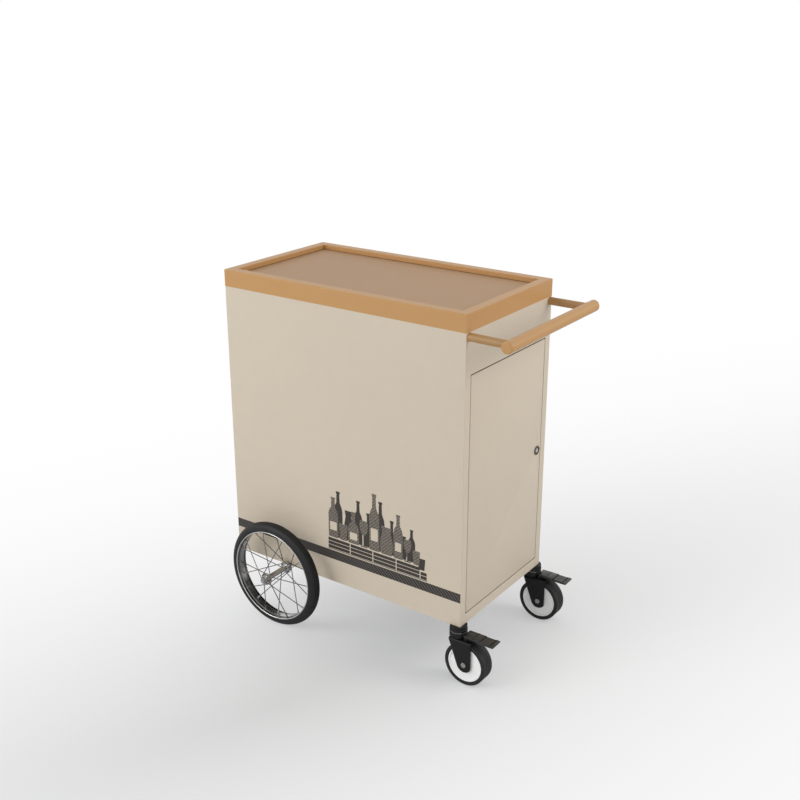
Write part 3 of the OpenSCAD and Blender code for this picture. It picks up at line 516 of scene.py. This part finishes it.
# Finishes of one colour: name, effect, the colour's property, the effect's other values, the shader's values
FINISHES = (
    ("cream", "coat", "cream", {"Roughness": 0.46, "Peel": 0.10}, {"Specular IOR Level": 0.36}),
    ("ochre", "coat", "ochre", {"Roughness": 0.40, "Peel": 0.10}, {"Specular IOR Level": 0.5}),
    # Painted shade: the frame's ochre made darker for the arms
    ("arm", "coat", "arm", {"Roughness": 0.44, "Peel": 0.10}, {}),
    ("tray", "coat", "tray", {"Roughness": 0.50, "Peel": 0.22}, {"Specular IOR Level": 0.3}),
    # Painted shade on the underside of the cabinet's floor
    ("underside_shaded", "coat", "underside_painted_shade", {"Roughness": 0.42, "Peel": 0.10}, {}),
    ("black_steel", "coat", "black", {"Roughness": 0.46, "Peel": 0.15}, {"Specular IOR Level": 0.28}),
    ("pedal", "coat", "pedal", {"Roughness": 0.26, "Peel": 0.2}, {}),
    ("zinc", "metal", "zinc", {"Roughness": 0.34, "Stretch": ALONG_Z}, METAL),
    ("chrome", "metal", "bright", {"Roughness": 0.24, "Lines": 0.04}, METAL),
    ("satin_steel", "metal", "satin", {"Roughness": 0.34, "Lines": 0.06}, METAL),
    ("spoke_steel", "metal", "spoke", {"Roughness": 0.28, "Stretch": ALONG_Z}, METAL),
    ("rim", "metal", "rim", {"Roughness": 0.24, "Stretch": ALONG_Y, "Lines": 0.04}, METAL),
    # Painted shade on the lock's ring and painted highlight on its face
    ("lock_ring_shade", "metal", "lock_ring_shade", {"Roughness": 0.30, "Lines": 0.03}, METAL),
    ("lock_face_highlight", "metal", "lock_face_highlight", {"Roughness": 0.38, "Lines": 0.03}, METAL),
    ("tyre", "rubber", "rubber", {"Roughness": 0.5}, {"Specular IOR Level": 0.32}),
    ("tread", "rubber", "rubber", {"Roughness": 0.58}, {"Specular IOR Level": 0.4}),
    ("grip_shade", "rubber", "grip_shade", {"Roughness": 0.75}, {"Specular IOR Level": 0.15}),
    ("caster_centre", "moulded", "hub", {"Roughness": 0.35}, {}),
    ("bush", "moulded", "seal", {"Roughness": 0.5}, {}),
    ("sealant_shade", "moulded", "sealant_shade", {"Roughness": 0.55}, {"Specular IOR Level": 0.3}),
)
# Inks: name, the two colours' properties, lines per metre along each axis, share of the first colour, waver
INKS = (
    ("band", "band_dark", "band_pale", (85, 0, 85), 0.58, 0.4),
    ("ink", "ink", "ink_pale", (120, 0, 60), 0.8, 2.0),
    ("hatch", "ink", "cream", (0, 0, 230), 0.76, 0.12),
)


# Operators


class CART_OT_finishes(bpy.types.Operator):
    """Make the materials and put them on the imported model's nodes"""

    bl_idname = "cart.finishes"
    bl_label = "Finishes"

    def execute(self, context):
        colours = context.scene.cart_colours
        for name, kind, tint, values, shader_values in FINISHES:
            new_material(name, kind, {"Colour": rgba(getattr(colours, tint)), **values}, shader_values)
        for name, ink, ground, direction, share, waver in INKS:
            values = {"Ink": rgba(getattr(colours, ink)), "Ground": rgba(getattr(colours, ground)),
                      "Direction": direction, "Share": share, "Waver": waver}
            new_material(name, "print", values, {})
        self.polish_lips(colours)
        self.underside_painted_shade(colours)
        for node, thing in frame["nodes"].items():
            material = finish_of(node)
            if not thing.material_slots:
                thing.data.materials.append(material)
            for slot in thing.material_slots:
                slot.material = material
        return {"FINISHED"}

    def polish_lips(self, colours):
        """The rim's barrel is dull; its shoulders are painted darker and its rolled lips painted brighter,
        painted shade and painted highlight for how light falls on the rim's curves.
        """
        lip_wide, barrel_half = 2.4 * MM, 7.9 * MM
        tree = MATERIALS["rim"].node_tree
        metal = next(n for n in tree.nodes if n.type == "GROUP")
        low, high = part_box("wheel_rim_near")
        masks = effect_node(tree, "lip", {
            "Mid-plane": -(low.y + high.y) / 2, "Reach": (high.y - low.y) / 2 - lip_wide,
            "Shoulder": barrel_half}).outputs
        inner = mix_by_mask(tree, masks["Shoulder"], rgba(colours.rim), rgba(colours.shoulder_shade))
        tree.links.new(mix_by_mask(tree, masks["Mask"], inner, rgba(colours.lip)), metal.inputs["Colour"])

    def underside_painted_shade(self, colours):
        """The cabinet's floor is cream on top and painted dark underneath: painted shade in place of the shade
        under the cart, which also darkens what the rims reflect.
        """
        shade_edge = 0.4 * MM
        tree = MATERIALS["underside_shaded"].node_tree
        coat = next(n for n in tree.nodes if n.type == "GROUP")
        # Below the floor's lowest face, a little up, the cream turns to painted shade
        below = effect_node(tree, "below", {"Height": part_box("base_pan")[0].z + shade_edge})
        tree.links.new(mix_by_mask(tree, below.outputs["Mask"], rgba(colours.cream), rgba(colours.underside_painted_shade)),
                       coat.inputs["Colour"])


class CART_OT_rounded_edges(bpy.types.Operator):
    """Round the edges of the door, its opening, the casters' steel parts and the axle's brackets and nuts"""

    bl_idname = "cart.rounded_edges"
    bl_label = "Rounded edges"

    def execute(self, context):
        sizes = context.scene.cart_sizes
        # The door's own edges and its opening's are rounded more than thin sheet
        door_share, opening_share = 2, 1.6
        rounded_copy("door_pan", sizes.round_sheet * door_share, segments=3)
        margin, flush = 4 * MM, 0.01 * MM
        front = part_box("door_end_frame")[1].x
        low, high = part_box("door_pan")

        def round_opening(edge):
            """Whether an edge runs along the outer rim of the door's opening."""
            return all(low.y - margin < v.co.y < high.y + margin and low.z - margin < v.co.z < high.z + margin
                       and v.co.x > front - flush for v in edge.verts)

        rounded_copy("door_end_frame", sizes.round_sheet * opening_share, segments=3, where=round_opening)
        for side in ("near", "far"):
            for node in ("caster_fork_", "caster_head_", "brake_pedal_", "caster_bolt_", "axle_bracket_"):
                rounded_copy(node + side, sizes.round_steel)
        rounded_copy("axle_nuts", sizes.round_steel)
        return {"FINISHED"}


class CART_OT_door_gap_shade_seal(bpy.types.Operator):
    """Lay the dark foam seal in the gap at the door's foot, head and lock side; it darkens the gap lines,
    painted shade for the shadow deep in the gap.
    """

    bl_idname = "cart.door_seal"
    bl_label = "Door seal"

    def execute(self, context):
        thick = context.scene.cart_sizes.seal_thick
        gap, set_back, deep, end_gap, rounding = 3 * MM, 1.8 * MM, 15 * MM, 1.5 * MM, thick * 0.3
        low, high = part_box("door_pan")
        front, back = high.x - set_back, high.x - deep
        left, right, foot, head = low.y - gap, high.y + gap, low.z - gap, high.z + gap
        round_door = (
            ((back, left, foot), (front, right, foot + thick)),
            ((back, left, head - thick), (front, right, head)),
            ((back, right - thick, foot + thick), (front, right, head - thick)),
        )
        # The seal's dark is painted shade along the gap
        bars_piece("door_seal", "cabinet", MATERIALS["bush"], round_door, rounding)
        on_head = ((back, low.y + end_gap, high.z), (front, high.y - end_gap, high.z + thick))
        bars_piece("door_head_gap_shade_seal", "door", MATERIALS["bush"], (on_head,), rounding)
        return {"FINISHED"}


class CART_OT_tray_shade_bead(bpy.types.Operator):
    """Run the dark sealant bead round the tray panel, where it meets the top frame; its dark is partly painted
    shade for the contact shadow along that joint.
    """

    bl_idname = "cart.tray_bead"
    bl_label = "Tray bead"

    def execute(self, context):
        wide = context.scene.cart_sizes.bead_wide
        tuck, tall, rounding = 0.2 * MM, wide * 0.7, wide * 0.3
        low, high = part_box("tray_floor")
        left, right, front, back = low.x - tuck, high.x + tuck, low.y - tuck, high.y + tuck
        foot, top = high.z, high.z + tall
        bead = (
            ((left, front, foot), (right, front + wide, top)),
            ((left, back - wide, foot), (right, back, top)),
            ((left, front + wide, foot), (left + wide, back - wide, top)),
            ((right - wide, front + wide, foot), (right, back - wide, top)),
        )
        bars_piece("tray_bead", "cabinet", MATERIALS["sealant_shade"], bead, rounding, segments=3)
        return {"FINISHED"}


class CART_OT_welds(bpy.types.Operator):
    """Run the weld beads where the arms meet the crossbar and the door end"""

    bl_idname = "cart.welds"
    bl_label = "Handle welds"

    def execute(self, context):
        bead = context.scene.cart_sizes.weld_round
        steps, sides, ripples, ripple = 48, 10, 12, 0.06
        share_at_bar, share_at_door_end = 1.0, 0.7
        bar_low, bar_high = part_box("handle_bar")
        bar_r = (bar_high.z - bar_low.z) / 2
        bar_x, bar_z = (bar_low.x + bar_high.x) / 2, (bar_low.z + bar_high.z) / 2
        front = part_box("door_end_frame")[1].x
        along = Vector((1, 0, 0))
        bm = bmesh.new()
        for node in ("handle_arm_near", "handle_arm_far"):
            low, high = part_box(node)
            arm_r, arm_y = (high.z - low.z) / 2, (low.y + high.y) / 2
            for at_bar, share in ((True, share_at_bar), (False, share_at_door_end)):
                rings = []
                for k in range(steps):
                    turn = 2 * math.pi * k / steps
                    out = Vector((0, math.cos(turn), math.sin(turn)))
                    up = arm_r * math.sin(turn)
                    x = bar_x - math.sqrt(bar_r ** 2 - up ** 2) if at_bar else front
                    centre = Vector((x, arm_y, bar_z)) + out * arm_r
                    size = bead * (1.0 + ripple * math.sin(turn * ripples)) * share
                    made = bmesh.ops.create_circle(bm, segments=sides, radius=size)
                    cross = Matrix((along, out, along.cross(out))).transposed().to_4x4()
                    bmesh.ops.transform(bm, matrix=Matrix.Translation(centre) @ cross, verts=made["verts"])
                    rings.append(made["verts"])
                for a, b in zip(rings, rings[1:] + rings[:1]):
                    edges = [e for ring in (a, b) for e in {e for v in ring for e in v.link_edges}
                             if all(v in ring for v in e.verts)]
                    bmesh.ops.bridge_loops(bm, edges=edges)
        bmesh.ops.remove_doubles(bm, verts=bm.verts, dist=1e-6)
        bmesh.ops.recalc_face_normals(bm, faces=bm.faces)
        add_piece(bm, "handle_welds", "cabinet", MATERIALS["ochre"], sharp=60.0)
        return {"FINISHED"}


# Grip strips on a pedal: distance from the swivel's axis, and depth of the pedal's face there below its top; at
# the step and the groove their dark is also painted shade
GRIP_STRIPS = ((76 * MM, 1.6 * MM), (54.8 * MM, 0.8 * MM))
TOE_STRIP_INSET, TOE_STRIP_DEPTH = 12 * MM, 1.6 * MM


class CART_OT_caster_details(bpy.types.Operator):
    """Lay the dark grip strips across the brake pedals, partly painted shade at the step and the groove, and
    the steel ball race round the swivel heads
    """

    bl_idname = "cart.caster_details"
    bl_label = "Caster details"

    def execute(self, context):
        sizes = context.scene.cart_sizes
        for side in ("near", "far"):
            self.grip_strips(side, sizes.grip_wide)
            self.ball_race(side, sizes.race_tall)
        return {"FINISHED"}

    def grip_strips(self, side, wide):
        """Three strips across a pedal, one of them near its toe; the two at the step and the groove also stand
        in for the shade there, as painted shade.
        """
        margin, sunk, proud, rounding = 1 * MM, 0.2 * MM, 0.5 * MM, 0.2 * MM
        share_behind, share_ahead = 0.3, 0.7
        low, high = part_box("brake_pedal_" + side)
        head_low, head_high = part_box("caster_head_" + side)
        swivel_x = ((head_low + head_high) / 2).x
        toe_strip = (high.x - swivel_x - TOE_STRIP_INSET, TOE_STRIP_DEPTH)
        strips = []
        for reach, depth in (*GRIP_STRIPS, toe_strip):
            top = high.z - depth
            strips.append(((swivel_x + reach - wide * share_behind, low.y + margin, top - sunk),
                           (swivel_x + reach + wide * share_ahead, high.y - margin, top + proud)))
        bars_piece("pedal_grips_" + side, "brake_" + side, MATERIALS["grip_shade"], strips, rounding)

    def ball_race(self, side, tall):
        """A flat ring in a swivel head's groove, drawn out from its outer wall over its top to its foot."""
        # The groove's foot is at a share of the head's height, and the ring stands a lift above it
        groove_share, lift, inset, bore_share = 0.62, 1.15 * MM, 1.1 * MM, 0.9
        low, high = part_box("caster_head_" + side)
        middle = (low + high) / 2
        radius = (high.x - low.x) / 2 - inset
        groove = Vector((middle.x, middle.y, low.z + (high.z - low.z) * groove_share + lift))
        bm = bmesh.new()

        def open_ring(test):
            """The open edges whose first corner passes a test."""
            return [e for e in bm.edges if (e.is_boundary or e.is_wire) and test(e.verts[0].co)]

        def drawn_out(edges):
            return new_verts(bmesh.ops.extrude_edge_only(bm, edges=edges))

        ring = bmesh.ops.create_circle(bm, segments=64, radius=radius)
        bmesh.ops.translate(bm, vec=groove, verts=ring["verts"])
        bmesh.ops.translate(bm, vec=(0, 0, tall), verts=drawn_out(bm.edges[:]))
        on_top = open_ring(lambda corner: corner.z > groove.z + tall / 2)
        bmesh.ops.scale(bm, vec=(bore_share, bore_share, 1), space=Matrix.Translation(-groove),
                        verts=drawn_out(on_top))
        inside = open_ring(lambda corner: (corner - groove).xy.length < radius * (1 + bore_share) / 2)
        bmesh.ops.translate(bm, vec=(0, 0, -tall), verts=drawn_out(inside))
        bmesh.ops.bridge_loops(bm, edges=open_ring(lambda corner: True))
        bmesh.ops.recalc_face_normals(bm, faces=bm.faces)
        add_piece(bm, "ball_race_" + side, "caster_fork_" + side, MATERIALS["satin_steel"])


# Half outlines of the printed vessels: shares of the half width and of the height
VESSELS = {
    "tall_bottle": [(1.0, 0), (1.0, 0.58), (0.86, 0.66), (0.40, 0.76), (0.34, 0.95),
                    (0.46, 0.955), (0.46, 1.0)],
    "squat_bottle": [(0.95, 0), (1.0, 0.05), (1.0, 0.46), (0.74, 0.60), (0.32, 0.68), (0.30, 0.93),
                     (0.42, 0.94), (0.42, 1.0)],
    "tumbler": [(0.78, 0), (1.0, 1.0)],
    "bowl": [(0.30, 0), (0.80, 0.28), (1.0, 0.62), (0.86, 1.0)],
    "jug": [(0.78, 0), (1.0, 0.22), (0.95, 0.50), (0.62, 0.80), (0.80, 1.0)],
    "slab": [(1.0, 0), (1.0, 1.0)],
}
# What stands in the row, in millimetres: shape, centre along the side, half width, foot height, height
BACK_ROW = [
    ("tall_bottle", -78, 15, 40, 142), ("jug", -42, 16, 40, 92), ("tall_bottle", -8, 14, 40, 132),
    ("squat_bottle", 27, 16, 40, 104), ("tall_bottle", 68, 14, 40, 150), ("squat_bottle", 106, 15, 40, 104),
    ("jug", 142, 14, 40, 70), ("tall_bottle", 171, 12, 40, 96), ("tumbler", 204, 12, 26, 34),
]
ROW = [
    ("tall_bottle", -96, 17, 36, 124), ("tumbler", -61, 15, 36, 50), ("squat_bottle", -25, 19, 36, 98),
    ("slab", 11, 12, 36, 3), ("slab", 11, 1.4, 39, 34), ("bowl", 11, 15, 73, 44),
    ("tall_bottle", 47, 17, 36, 172), ("jug", 88, 22, 36, 84), ("tall_bottle", 127, 15, 36, 132),
    ("slab", 158, 11, 36, 3), ("slab", 158, 1.4, 39, 26), ("bowl", 158, 13, 65, 38),
    ("tumbler", 187, 12, 36, 42),
]
# Bare labels on the bottles, in millimetres: centre, foot height, height, half width
LABELS = [(-96, 58, 26, 12), (-25, 48, 22, 13), (47, 66, 38, 12), (127, 58, 26, 10)]
# Crates under the row, in millimetres: centre, half width and number of slats
CRATES = [(-77, 38, 3), (2, 38, 3), (81, 38, 3), (160, 38, 3), (211, 10, 2)]
SLAT_TALL, SLAT_STEP = 9.6, 11.4
# The line that the crates stand on, in millimetres: its ends, its height, and its rise above the band
GROUND_ENDS, GROUND_TALL, GROUND_RISE = (-116, 222), 2, 3
# The crates' foot above the line's foot, in millimetres
CRATE_RISE = 3.4
# What is no wider than this from its middle, or no taller, in millimetres, is all ink
INK_HALF, INK_TALL = 4, 6
# The motif's materials, by the order of its slots
INKED, HATCHED, BARE = 0, 1, 2


def upright(left, right, foot, head):
    """The corners of an upright rectangle in X and Z."""
    return [(left, foot), (right, foot), (right, head), (left, head)]


class CART_OT_printed_side(bpy.types.Operator):
    """Lay the printed band and the row of bottles and glasses on the near side"""

    bl_idname = "cart.printed_side"
    bl_label = "Printed side"

    def execute(self, context):
        sizes = context.scene.cart_sizes
        low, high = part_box("side_panel_near")
        self.band(sizes, low, high)
        self.motif(sizes, low.y)
        return {"FINISHED"}

    def band(self, sizes, low, high):
        """The band runs along the whole side, clear of its rounded upright edges."""
        end = 1.2 * MM
        outline = upright(low.x + end, high.x - end, sizes.band_low, sizes.band_high)
        bm = bmesh.new()
        face = bm.faces.new([bm.verts.new((x, low.y, z)) for x, z in outline])
        made = bmesh.ops.extrude_face_region(bm, geom=[face])
        bmesh.ops.translate(bm, vec=(0, -sizes.print_thick, 0), verts=new_verts(made))
        bmesh.ops.recalc_face_normals(bm, faces=bm.faces)
        add_piece(bm, "printed_band", "cabinet", MATERIALS["band"])

    def motif(self, sizes, y):
        """The ground line, the crates, the back row half sunk behind the row, and the labels on top."""
        thick, sunk_share = sizes.print_thick, 0.5
        bm = bmesh.new()
        foot = sizes.band_high + GROUND_RISE * MM
        self.drawn(bm, upright(*GROUND_ENDS, 0, GROUND_TALL), foot, y, sizes, INKED)
        foot += CRATE_RISE * MM
        for centre, half, slats in CRATES:
            for k in range(slats):
                slat = upright(centre - half, centre + half, k * SLAT_STEP, k * SLAT_STEP + SLAT_TALL)
                self.drawn(bm, slat, foot, y, sizes, INKED)
        for row, behind in ((BACK_ROW, sunk_share), (ROW, 0)):
            for shape, centre, half, rise, tall in row:
                right = [(centre + w * half, rise + h * tall) for w, h in VESSELS[shape]]
                left = [(2 * centre - x, z) for x, z in reversed(right)]
                fill = HATCHED if half > INK_HALF and tall > INK_TALL and not behind else INKED
                self.drawn(bm, right + left, foot, y + behind * thick, sizes, fill)
        for centre, rise, tall, half in LABELS:
            label = upright(centre - half, centre + half, rise, rise + tall)
            self.drawn(bm, label, foot, y - thick, sizes, BARE)
        bmesh.ops.recalc_face_normals(bm, faces=bm.faces)
        motif = add_piece(bm, "printed_motif", "cabinet", MATERIALS["ink"])
        motif.data.materials.append(MATERIALS["hatch"])
        motif.data.materials.append(MATERIALS["cream"])

    def drawn(self, bm, outline, foot, y, sizes, fill):
        """A flat shape, outlined in millimetres: all ink, or an inked line round a hatched or bare one."""
        corner = 2.2 * MM
        before = set(bm.faces)
        face = bm.faces.new([bm.verts.new((x * MM, y, z * MM + foot)) for x, z in outline])
        faces = [face]
        if fill != INKED:
            bmesh.ops.bevel(bm, geom=face.verts[:], offset=corner, segments=3, profile=0.5, affect="VERTICES",
                            clamp_overlap=True, material=-1)
            face = max((f for f in bm.faces if f not in before), key=lambda f: f.calc_area())
            ring = bmesh.ops.inset_region(bm, faces=[face], thickness=sizes.print_line, use_even_offset=True)
            face.material_index = fill
            faces = [face, *ring["faces"]]
        made = bmesh.ops.extrude_face_region(bm, geom=faces, use_keep_orig=True)
        bmesh.ops.translate(bm, vec=(0, -sizes.print_thick, 0), verts=new_verts(made))


class CART_OT_stage(bpy.types.Operator):
    """Set up the floor, the lights, the sky and the camera"""

    bl_idname = "cart.stage"
    bl_label = "Stage"

    def execute(self, context):
        scene = context.scene
        stage = scene.cart_stage
        scene.view_settings.view_transform = "Standard"
        self.floor(scene)
        self.sky(scene, stage)
        self.soft_light(scene, "key", stage.key_power, stage.key_wide, stage.key_place, (1.0, 1.0, 1.0))
        self.soft_light(scene, "fill", stage.fill_power, stage.fill_wide, stage.fill_place, stage.fill_tint)

        camera = bpy.data.cameras.new("camera")
        camera.lens = stage.camera_lens
        camera.sensor_width = 36.0
        camera.clip_end = 100.0
        eye = bpy.data.objects.new("camera", camera)
        eye.location = stage.camera_place
        eye.rotation_euler = stage.camera_turn
        scene.collection.objects.link(eye)
        scene.camera = eye
        return {"FINISHED"}

    def floor(self, scene):
        half_wide = 30.0
        bm = bmesh.new()
        bmesh.ops.create_grid(bm, x_segments=1, y_segments=1, size=half_wide)
        mesh = bpy.data.meshes.new("floor")
        bm.to_mesh(mesh)
        bm.free()
        floor = bpy.data.objects.new("floor", mesh)
        scene.collection.objects.link(floor)
        mesh.materials.append(self.floor_material(scene.cart_colours))

    def floor_material(self, colours):
        """Pale floor that shows white far off and keeps the soft shadow in an oval round the cart; the white is
        a painted glow that only the camera sees, which lightens the floor and its shadow, slightly even in the
        oval's middle.
        """
        oval_centre, oval_turn, oval_stretch = (-0.01, -0.60, 0.0), -0.43, 3.25
        fade_from, fade_to, fade_power, most_shown = 0.01, 3.06, 4.2, 0.92
        material = bpy.data.materials.new("floor")
        material.use_nodes = True
        tree = material.node_tree
        shader = tree.nodes["Principled BSDF"]
        shader.inputs["Base Color"].default_value = rgba(colours.floor)
        shader.inputs["Roughness"].default_value = 0.7
        shader.inputs["Specular IOR Level"].default_value = 0.2
        white = tree.nodes.new("ShaderNodeEmission")
        white.inputs["Color"].default_value = (1, 1, 1, 1)
        path = tree.nodes.new("ShaderNodeLightPath")
        oval = tree.nodes.new("ShaderNodeMapping")
        oval.vector_type = "TEXTURE"
        oval.inputs["Location"].default_value = oval_centre
        oval.inputs["Rotation"].default_value = (0.0, 0.0, oval_turn)
        oval.inputs["Scale"].default_value = (1.0, oval_stretch, 1.0)
        tree.links.new(tree.nodes.new("ShaderNodeTexCoord").outputs["Object"], oval.inputs["Vector"])
        far = vector_node(tree, "LENGTH", oval.outputs["Vector"]).outputs["Value"]
        nearness = remap(tree, far, fade_from, fade_to, 1.0, 0.0)
        shown = math_node(tree, "MULTIPLY", math_node(tree, "POWER", nearness, fade_power), most_shown)
        fade = math_node(tree, "SUBTRACT", 1.0, shown)
        # Painted light: a white glow, seen only by the camera, lightens the floor by the fade
        mask = math_node(tree, "MULTIPLY", fade, path.outputs["Is Camera Ray"])
        mix = tree.nodes.new("ShaderNodeMixShader")
        tree.links.new(mask, mix.inputs["Fac"])
        tree.links.new(shader.outputs[0], mix.inputs[1])
        tree.links.new(white.outputs[0], mix.inputs[2])
        tree.links.new(mix.outputs[0], tree.nodes["Material Output"].inputs["Surface"])
        return material

    def sky(self, scene, stage):
        """Even light, weaker overhead, that is plain white to the camera and in reflections."""
        world = bpy.data.worlds.new("studio")
        scene.world = world
        world.use_nodes = True
        tree = world.node_tree
        tree.nodes.clear()
        sky = tree.nodes.new("ShaderNodeBackground")
        white = tree.nodes.new("ShaderNodeBackground")
        for node in (sky, white):
            node.inputs["Color"].default_value = (1, 1, 1, 1)
        height = part_of(tree, tree.nodes.new("ShaderNodeTexCoord").outputs["Generated"], "Z")
        strength = remap(tree, height, 0.0, 1.0, stage.sky_low, stage.sky_high)
        tree.links.new(strength, sky.inputs["Strength"])
        path = tree.nodes.new("ShaderNodeLightPath")
        seen = path.outputs["Is Camera Ray"]
        for ray in ("Is Glossy Ray", "Is Transmission Ray"):
            seen = math_node(tree, "ADD", seen, path.outputs[ray], clamp=True)
        mix = tree.nodes.new("ShaderNodeMixShader")
        out = tree.nodes.new("ShaderNodeOutputWorld")
        tree.links.new(seen, mix.inputs["Fac"])
        tree.links.new(sky.outputs[0], mix.inputs[1])
        tree.links.new(white.outputs[0], mix.inputs[2])
        tree.links.new(mix.outputs[0], out.inputs["Surface"])

    def soft_light(self, scene, name, strength, wide, place, tint):
        """A round lamp that faces the middle of the cart."""
        cart_middle = Vector((0, 0, 0.5))
        light = bpy.data.lights.new(name, "AREA")
        light.shape = "DISK"
        light.size = wide
        light.energy = strength
        light.color = tint
        lamp = bpy.data.objects.new(name, light)
        lamp.location = place
        lamp.rotation_euler = (cart_middle - lamp.location).to_track_quat("-Z", "Y").to_euler()
        scene.collection.objects.link(lamp)


class CART_PT_panel(bpy.types.Panel):
    """Sizes, colours and the steps that build the cart"""

    bl_idname = "CART_PT_panel"
    bl_label = "Beverage cart"
    bl_space_type = "VIEW_3D"
    bl_region_type = "UI"
    bl_category = "Cart"

    def draw(self, context):
        scene = context.scene
        for group in (scene.cart_colours, scene.cart_sizes, scene.cart_stage):
            box = self.layout.box()
            for name in group.__annotations__:
                box.prop(group, name)
        for operator in STEPS:
            self.layout.operator(operator.bl_idname)


STEPS = (CART_OT_finishes, CART_OT_rounded_edges, CART_OT_door_gap_shade_seal, CART_OT_tray_shade_bead, CART_OT_welds,
         CART_OT_caster_details, CART_OT_printed_side, CART_OT_stage)
CLASSES = (CartColours, CartSizes, StageSettings, *STEPS, CART_PT_panel)


def register():
    for cls in CLASSES:
        bpy.utils.register_class(cls)
    bpy.types.Scene.cart_colours = bpy.props.PointerProperty(type=CartColours)
    bpy.types.Scene.cart_sizes = bpy.props.PointerProperty(type=CartSizes)
    bpy.types.Scene.cart_stage = bpy.props.PointerProperty(type=StageSettings)


def unregister():
    for name in ("cart_colours", "cart_sizes", "cart_stage"):
        delattr(bpy.types.Scene, name)
    for cls in reversed(CLASSES):
        bpy.utils.unregister_class(cls)


def main():
    register()
    bpy.ops.cart.finishes()
    bpy.ops.cart.rounded_edges()
    bpy.ops.cart.door_seal()
    bpy.ops.cart.tray_bead()
    bpy.ops.cart.welds()
    bpy.ops.cart.caster_details()
    bpy.ops.cart.printed_side()
    bpy.ops.cart.stage()


if __name__ == "__main__":
    main()
